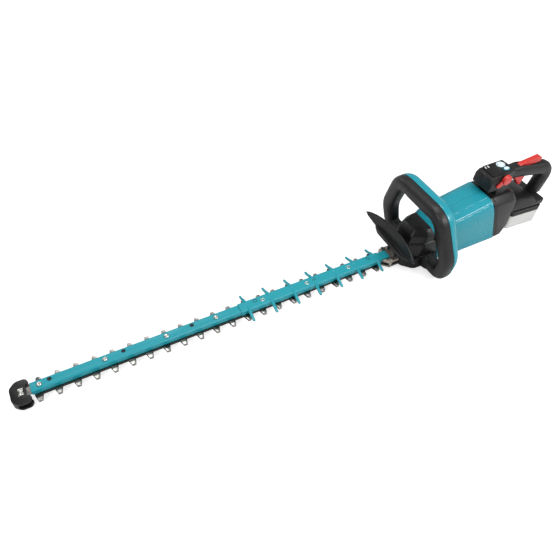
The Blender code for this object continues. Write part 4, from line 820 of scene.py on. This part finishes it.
def screw_head(name, node, body, radius, low, height, centre, drive=0.55):
    """A pan head turned about Z with a star-shaped recess: its inner rings wave six times."""
    r, h = radius, height
    profile = [
        (0.02, h * 0.35, 0), (drive * r * 0.55, h * 0.35, 1), (drive * r * 0.86, h * 0.36, 1),
        (drive * r, h * 0.45, 1), (drive * r * 1.04, h * 0.93, 1), (drive * r * 1.16, h, 0.0),
        (r * 0.78, h * 0.97, 0),
        (r * 0.9, h * 0.86, 0), (r * 0.975, h * 0.66, 0), (r, h * 0.4, 0), (r, h * 0.12, 0),
        (r * 0.96, 0, 0), (0.02, 0, 0),
    ]
    profile = [(radius_, low + up, lobed) for radius_, up, lobed in profile]
    mesh = lathe(name, profile, (centre[0], centre[1], 0), 48, "Z", 6, 0.12)
    return piece(mesh, body, "plated_screw", ZINC, *([node] if node else []))


def hex_nut(name, body, across, low, high, centre):
    """A six-sided nut: the outline's radius follows the hexagon's flats, softened by a chamfer."""
    corners = across / math.sqrt(3) * np.stack(
        [np.cos(np.arange(6) * math.pi / 3), np.sin(np.arange(6) * math.pi / 3)], 1)
    made = slab(name, outline(corners + np.asarray(centre), 0.5, 3, 3), low, high, 0.5)
    return piece(made, body, "plated_screw", ZINC)


for number in range(1, 8):
    low, high = in_mm(f"bar_screw_{number}")
    middle = ((low + high) / 2)[:2]
    screw_head(f"bar_screw_head_{number}", f"bar_screw_{number}", "body", 4.9, 14.3, 2.6, middle)
    hex_nut(f"bar_lock_nut_{number}", "body", 9.2, low[2] + 0.05, low[2] + 4.4, middle)
    shank = np.array([(0.02, 0, 0), (2.3, 0, 0), (2.3, 1, 0), (0.02, 1, 0)]) * (1, 1, 0)
    shank[:, 1] = np.where(shank[:, 1] > 0, 14.2, low[2] + 0.3)
    piece(lathe(f"bar_screw_shank_{number}", shank, (middle[0], middle[1], 0), 20), "body", "plated_screw",
          ZINC)
for label in ("left", "right"):
    low, high = in_mm(f"tip_screw_{label}")
    middle = ((low + high) / 2)[:2]
    screw_head(f"tip_screw_head_{label}", f"tip_screw_{label}", "body", 3.4, high[2] - 1.9, 1.9, middle)

# ---- cast insert on the nose, four lobes round the two screws


def make_nose_insert():
    """The insert's radius is a mean plus a cosine of four times the turn, stretched across."""
    low, high = in_mm("tip_guard")
    turn = np.linspace(0, 2 * math.pi, 96, endpoint=False)
    lobes, lobe_depth, half_long, half_wide, from_nose = 4, 0.42, 4.6, 7.6, 19.2
    radius = 1 + lobe_depth * np.cos(lobes * (turn - math.pi / 4))
    middle = low[0] + from_nose
    shape = np.stack([middle + half_long * radius * np.cos(turn), half_wide * radius * np.sin(turn)], 1)
    return piece(slab("nose_cast_insert", shape, high[2] - 0.5, high[2] + 0.7, 0.5), "body",
                 "cast_aluminium", ZINC)


make_nose_insert()
piece(slab("nose_tongue_plate", outline([(-862, -8.6), (-849.5, -8.6), (-849.5, 8.6), (-862, 8.6)], 1, 4,
                                        4), 6.6, 7.9, 0.3),
      "body", "blade_steel", DARK_STEEL)


OIL_HOLE_SHADES = 6
OIL_HOLE_FIRST = 60  # from the bar's front end to the first oil hole
OIL_HOLE_STEP = 140.8  # four teeth
BAR_TOP, COMB_TOP = 14.02, 16.02


def make_oil_hole_shades():
    """A turned black dish in each oil hole: a flat rim, then a wall that falls to a floor. Its black is
    painted shade, standing for the dark inside of the hole.
    """
    low = in_mm("guide_bar")[0]
    comb_start = in_mm("comb_guard")[0][0]
    for number in range(OIL_HOLE_SHADES):
        x = low[0] + OIL_HOLE_FIRST + number * OIL_HOLE_STEP
        top = COMB_TOP if x > comb_start else BAR_TOP
        profile = [(0.02, top - 0.6, 0), (3.0, top - 0.6, 0), (3.3, top + 0.25, 0), (3.9, top + 0.3, 0),
                   (4.3, top + 0.12, 0), (4.3, top - 0.8, 0), (0.02, top - 0.8, 0)]
        # Each black disc is painted shade for the dark inside of an oil hole.
        piece(lathe(f"oil_hole_shade_{number + 1}", profile, (x, 4.0, 0), 40), "body", "black_nylon", BLACK)


make_oil_hole_shades()

# ---- control panel: key rings, two lamp strokes, a dash and a hook


def make_panel_marks():
    """Short rounded strokes raised a hair above the panel's face."""
    top = in_mm("control_panel")[1][2]
    marks = (
        ("lamp_stroke_1", (183.0, 13.5), 3.9, 1.15, 1.45, MARK),
        ("lamp_stroke_2", (190.5, 13.5), 3.9, 1.15, 1.45, MARK),
        ("mode_dash", (190.0, -3.5), 6.4, 0.8, 0.12, GREY),
        ("mode_hook", (196.4, -0.4), 3.0, 0.8, 1.45, GREY),
    )
    for name, at, half_long, half_wide, turn, material in marks:
        shape = stadium(at, half_long, half_wide, turn)
        piece(slab(name, shape, top - 0.2, top + 0.18, 0.12), "rear_handle", "status_lens", material)


make_panel_marks()


def key_ring_light_and_shade(name, at, half_long, half_wide, band, material):
    """A ring round a key: its section, flat with a rounded outer edge, is carried round an oval."""
    top = in_mm("control_panel")[1][2]
    turn = np.linspace(0, 2 * math.pi, 64, endpoint=False)
    out = np.array([0.0, 0.0, 0.15, band - 0.4, band - 0.1, band])
    up = np.array([-0.3, 0.45, 0.6, 0.6, 0.4, -0.3])
    x = at[0] + (half_long + out[None]) * np.cos(turn)[:, None]
    y = at[1] + (half_wide + out[None]) * np.sin(turn)[:, None]
    rings = np.stack([x, y, top + np.broadcast_to(up[None], x.shape)], -1)
    return piece(skin(name, rings, closed_along=True), "rear_handle", "status_lens", material)


# The pale ring widens the power key's pale patch: partly the key's own pale lens colour, partly a painted
# highlight on it.
key_ring_light_and_shade("power_key_highlight_ring", (222, 8.5), 8.4, 7.4, 2.4, LENS)
# The teal ring round the reverse key is painted shade: it stands for the teal shade at the power key's lower
# right.
key_ring_light_and_shade("reverse_key_shade_ring", (224, -8.5), 6.9, 4.9, 1.6, BAR_TEAL)

# ---- gear case: webs to the handle's feet, an open flange, slots on the cover


def make_case_details():
    """Each web runs from the case's side to the handle's foot; its height falls as it goes out.
    The flange is an open rim: its rows lie between an outer and an inner outline, by a share that
    is the edge radius times one minus the sine of the turn near each face, and one inside."""
    for label, side in (("left", -1), ("right", 1)):
        share = np.linspace(0, 1, 24)
        out = 41.5 + 34 * share
        top = 16.5 - 9 * share**2
        low = -16.5 + 10 * share**2
        front = 3 + 6 * share**2
        rear = 42 - 16 * share**2
        rows = []
        for y, high, base, near, far in zip(out, top, low, front, rear):
            corners = [(near, base), (near, high), (far, high), (far, base)]
            rows.append(outline(corners, 6.5, 8, 8))
        rows = np.array(rows)
        y = np.broadcast_to(side * out[:, None], rows.shape[:2])
        mesh = skin(f"handle_foot_web_{label}", np.stack([rows[..., 0], y, rows[..., 1]], -1))
        piece(mesh, "body", "black_nylon", BLACK)
    outer = outline([(-38, -45), (44, -45), (44, 45), (-38, 45)], 9, 10, 16)
    inner = outline([(-34, -41.5), (40, -41.5), (40, 41.5), (-34, 41.5)], 5.5, 10, 16)
    low, high, edge, width = 12.6, 16.2, 1.2, 3.5
    turn = np.linspace(0, math.pi / 2, 6)
    inset, rise = edge * (1 - np.sin(turn)) / width, edge * (1 - np.cos(turn))
    share = np.concatenate([inset, inset[::-1], [1.0, 1.0]])
    level = np.concatenate([low + rise, (high - rise)[::-1], [high, low]])
    flat = outer[None] + share[:, None, None] * (inner - outer)[None]
    height = np.broadcast_to(level[:, None], flat.shape[:2])
    rim = skin("gear_case_flange", np.stack([flat[..., 0], flat[..., 1], height], -1), closed_along=True)
    piece(rim, "body", "black_nylon", BLACK)


make_case_details()


def make_cover_details():
    """Slots on the cover: three dark sunk strokes."""
    for number, (x, y, turn) in enumerate(((-8, -14, 1.2), (-2, -17, 1.2), (4, -20, 1.2))):
        piece(slab(f"cover_slot_{number + 1}", stadium((x, y), 6.5, 0.8, turn), 81.2, 82.0, 0.25), "body",
              "black_nylon", GREY)


make_cover_details()

# ---- finishes of the CAD nodes that show as they are

NODE_FINISH = {
    "guide_bar": BAR_TEAL, "tip_guard": BLACK, "comb_guard": BAR_TEAL, "blade_base": CAST,
    "blade_support": DARK_STEEL,
    "stator": COPPER, "front_motor_bearing": DARK_STEEL, "rear_motor_bearing": DARK_STEEL,
    "front_motor_plate": CAST, "rear_motor_plate": CAST, "upper_crank_bearing": DARK_STEEL,
    "lower_crank_bearing": DARK_STEEL, "bearing_plate": CAST, "gear_case": BLACK, "gear_cover": BLACK,
    "motor_housing_left": TEAL, "motor_housing_right": TEAL, "swivel_ring": GREY, "front_handle_grip": RUBBER,
    "front_handle_shell": TEAL, "hand_guard": BLACK, "motor_controller": BLACK, "upper_blade": STEEL,
    "lower_blade": STEEL, "crank_shaft": DARK_STEEL, "crown_gear": DARK_STEEL, "motor_shaft": DARK_STEEL,
    "rotor_core": DARK_STEEL, "cooling_fan": BLACK, "front_switch_lever": BLACK, "rear_housing_left": GREY,
    "rear_housing_right": GREY, "control_panel": BLACK, "trigger_switch": BLACK, "battery_mount": BLACK,
    "terminal_block": BLACK, "trigger": RED, "lock_off_lever": RED, "handle_release_lever": RED,
    "power_button": LENS, "reverse_button": LENS, "battery_upper_case": PALE, "battery_lower_case": PALE,
    "cell_pack": BLACK, "battery_button": BLACK,
}
for node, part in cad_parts.items():
    wanted = NODE_FINISH.get(node, ZINC)
    part.data.materials.clear()
    part.data.materials.append(wanted)

# ---- floor, lights and camera

floor_mesh = bpy.data.meshes.new("studio_floor")
floor_mesh.from_pydata([(-40, -40, 0), (40, -40, 0), (40, 40, 0), (-40, 40, 0)], [], [(0, 1, 2, 3)])
floor_mesh.transform(Matrix.Translation((0, 0, float(cad_box[0][2]) - 0.0004)))
floor = bpy.data.objects.new("studio_floor", floor_mesh)
bpy.context.scene.collection.objects.link(floor)
pale = bpy.data.materials.new("pale_floor_paper")
pale.use_nodes = True
pale.node_tree.nodes["Principled BSDF"].inputs["Base Color"].default_value = (0.62, 0.62, 0.62, 1)
pale.node_tree.nodes["Principled BSDF"].inputs["Roughness"].default_value = 0.85
pale.node_tree.nodes["Principled BSDF"].inputs["Specular IOR Level"].default_value = 0.1
paper = pale.node_tree.nodes["Principled BSDF"]
paper.inputs["Emission Color"].default_value = (1, 1, 1, 1)
seen = pale.node_tree.nodes.new("ShaderNodeLightPath")
glow = pale.node_tree.nodes.new("ShaderNodeMath")
glow.operation = "MULTIPLY"
glow.inputs[1].default_value = 0.62
pale.node_tree.links.new(seen.outputs["Is Camera Ray"], glow.inputs[0])
pale.node_tree.links.new(glow.outputs[0], paper.inputs["Emission Strength"])
floor_mesh.materials.append(pale)

world = bpy.context.scene.world or bpy.data.worlds.new("studio")
bpy.context.scene.world = world
world.use_nodes = True
world.node_tree.nodes["Background"].inputs["Color"].default_value = (0.98, 0.99, 1.0, 1)
sky = world.node_tree
looked_at = sky.nodes.new("ShaderNodeLightPath")
brightness = sky.nodes.new("ShaderNodeMath")
brightness.operation = "MULTIPLY_ADD"
brightness.inputs[1].default_value = 0.6
brightness.inputs[2].default_value = 0.38
sky.links.new(looked_at.outputs["Is Camera Ray"], brightness.inputs[0])
sky.links.new(brightness.outputs[0], sky.nodes["Background"].inputs["Strength"])


def soft_light(name, place, aim, size, power, colour=(1, 1, 1)):
    """A square area light at a place, turned to face its aim."""
    lamp = bpy.data.lights.new(name, "AREA")
    lamp.shape = "RECTANGLE"
    lamp.size, lamp.size_y = size
    lamp.energy = power
    lamp.color = colour
    holder = bpy.data.objects.new(name, lamp)
    bpy.context.scene.collection.objects.link(holder)
    holder.location = place
    holder.rotation_euler = (Vector(aim) - Vector(place)).to_track_quat("-Z", "Y").to_euler()


soft_light("key_light", (0.95, -1.55, 1.45), (0.1, 0, 0.05), (0.9, 0.6), 30)
soft_light("left_light", (-1.2, -0.9, 1.6), (0.0, 0, 0.05), (0.8, 0.8), 13)
soft_light("top_light", (0.25, 0.35, 2.1), (0.1, 0, 0.05), (1.2, 0.7), 20)
soft_light("side_light", (1.9, -0.9, 1.0), (0.2, 0, 0.08), (0.8, 0.8), 4)
soft_light("back_light", (-0.6, 1.9, 1.2), (0, 0, 0.05), (1.4, 0.8), 10)

camera_data = bpy.data.cameras.new("scene_camera")
camera_data.lens = 36.93
camera_data.sensor_width = 36.0
camera_data.clip_end = 50
camera = bpy.data.objects.new("scene_camera", camera_data)
bpy.context.scene.collection.objects.link(camera)
right = Vector((0.88792893, -0.45919559, 0.02686304))
up = Vector((0.32730330, 0.67176898, 0.66452915))
forward = Vector((0.32319461, 0.58126230, -0.74677934))
camera.matrix_world = Matrix((
    (right.x, up.x, -forward.x, -0.47206102),
    (right.y, up.y, -forward.y, -0.68809194),
    (right.z, up.z, -forward.z, 0.96286068),
    (0, 0, 0, 1),
))
bpy.context.scene.camera = camera

bpy.context.scene.view_settings.view_transform = "Standard"
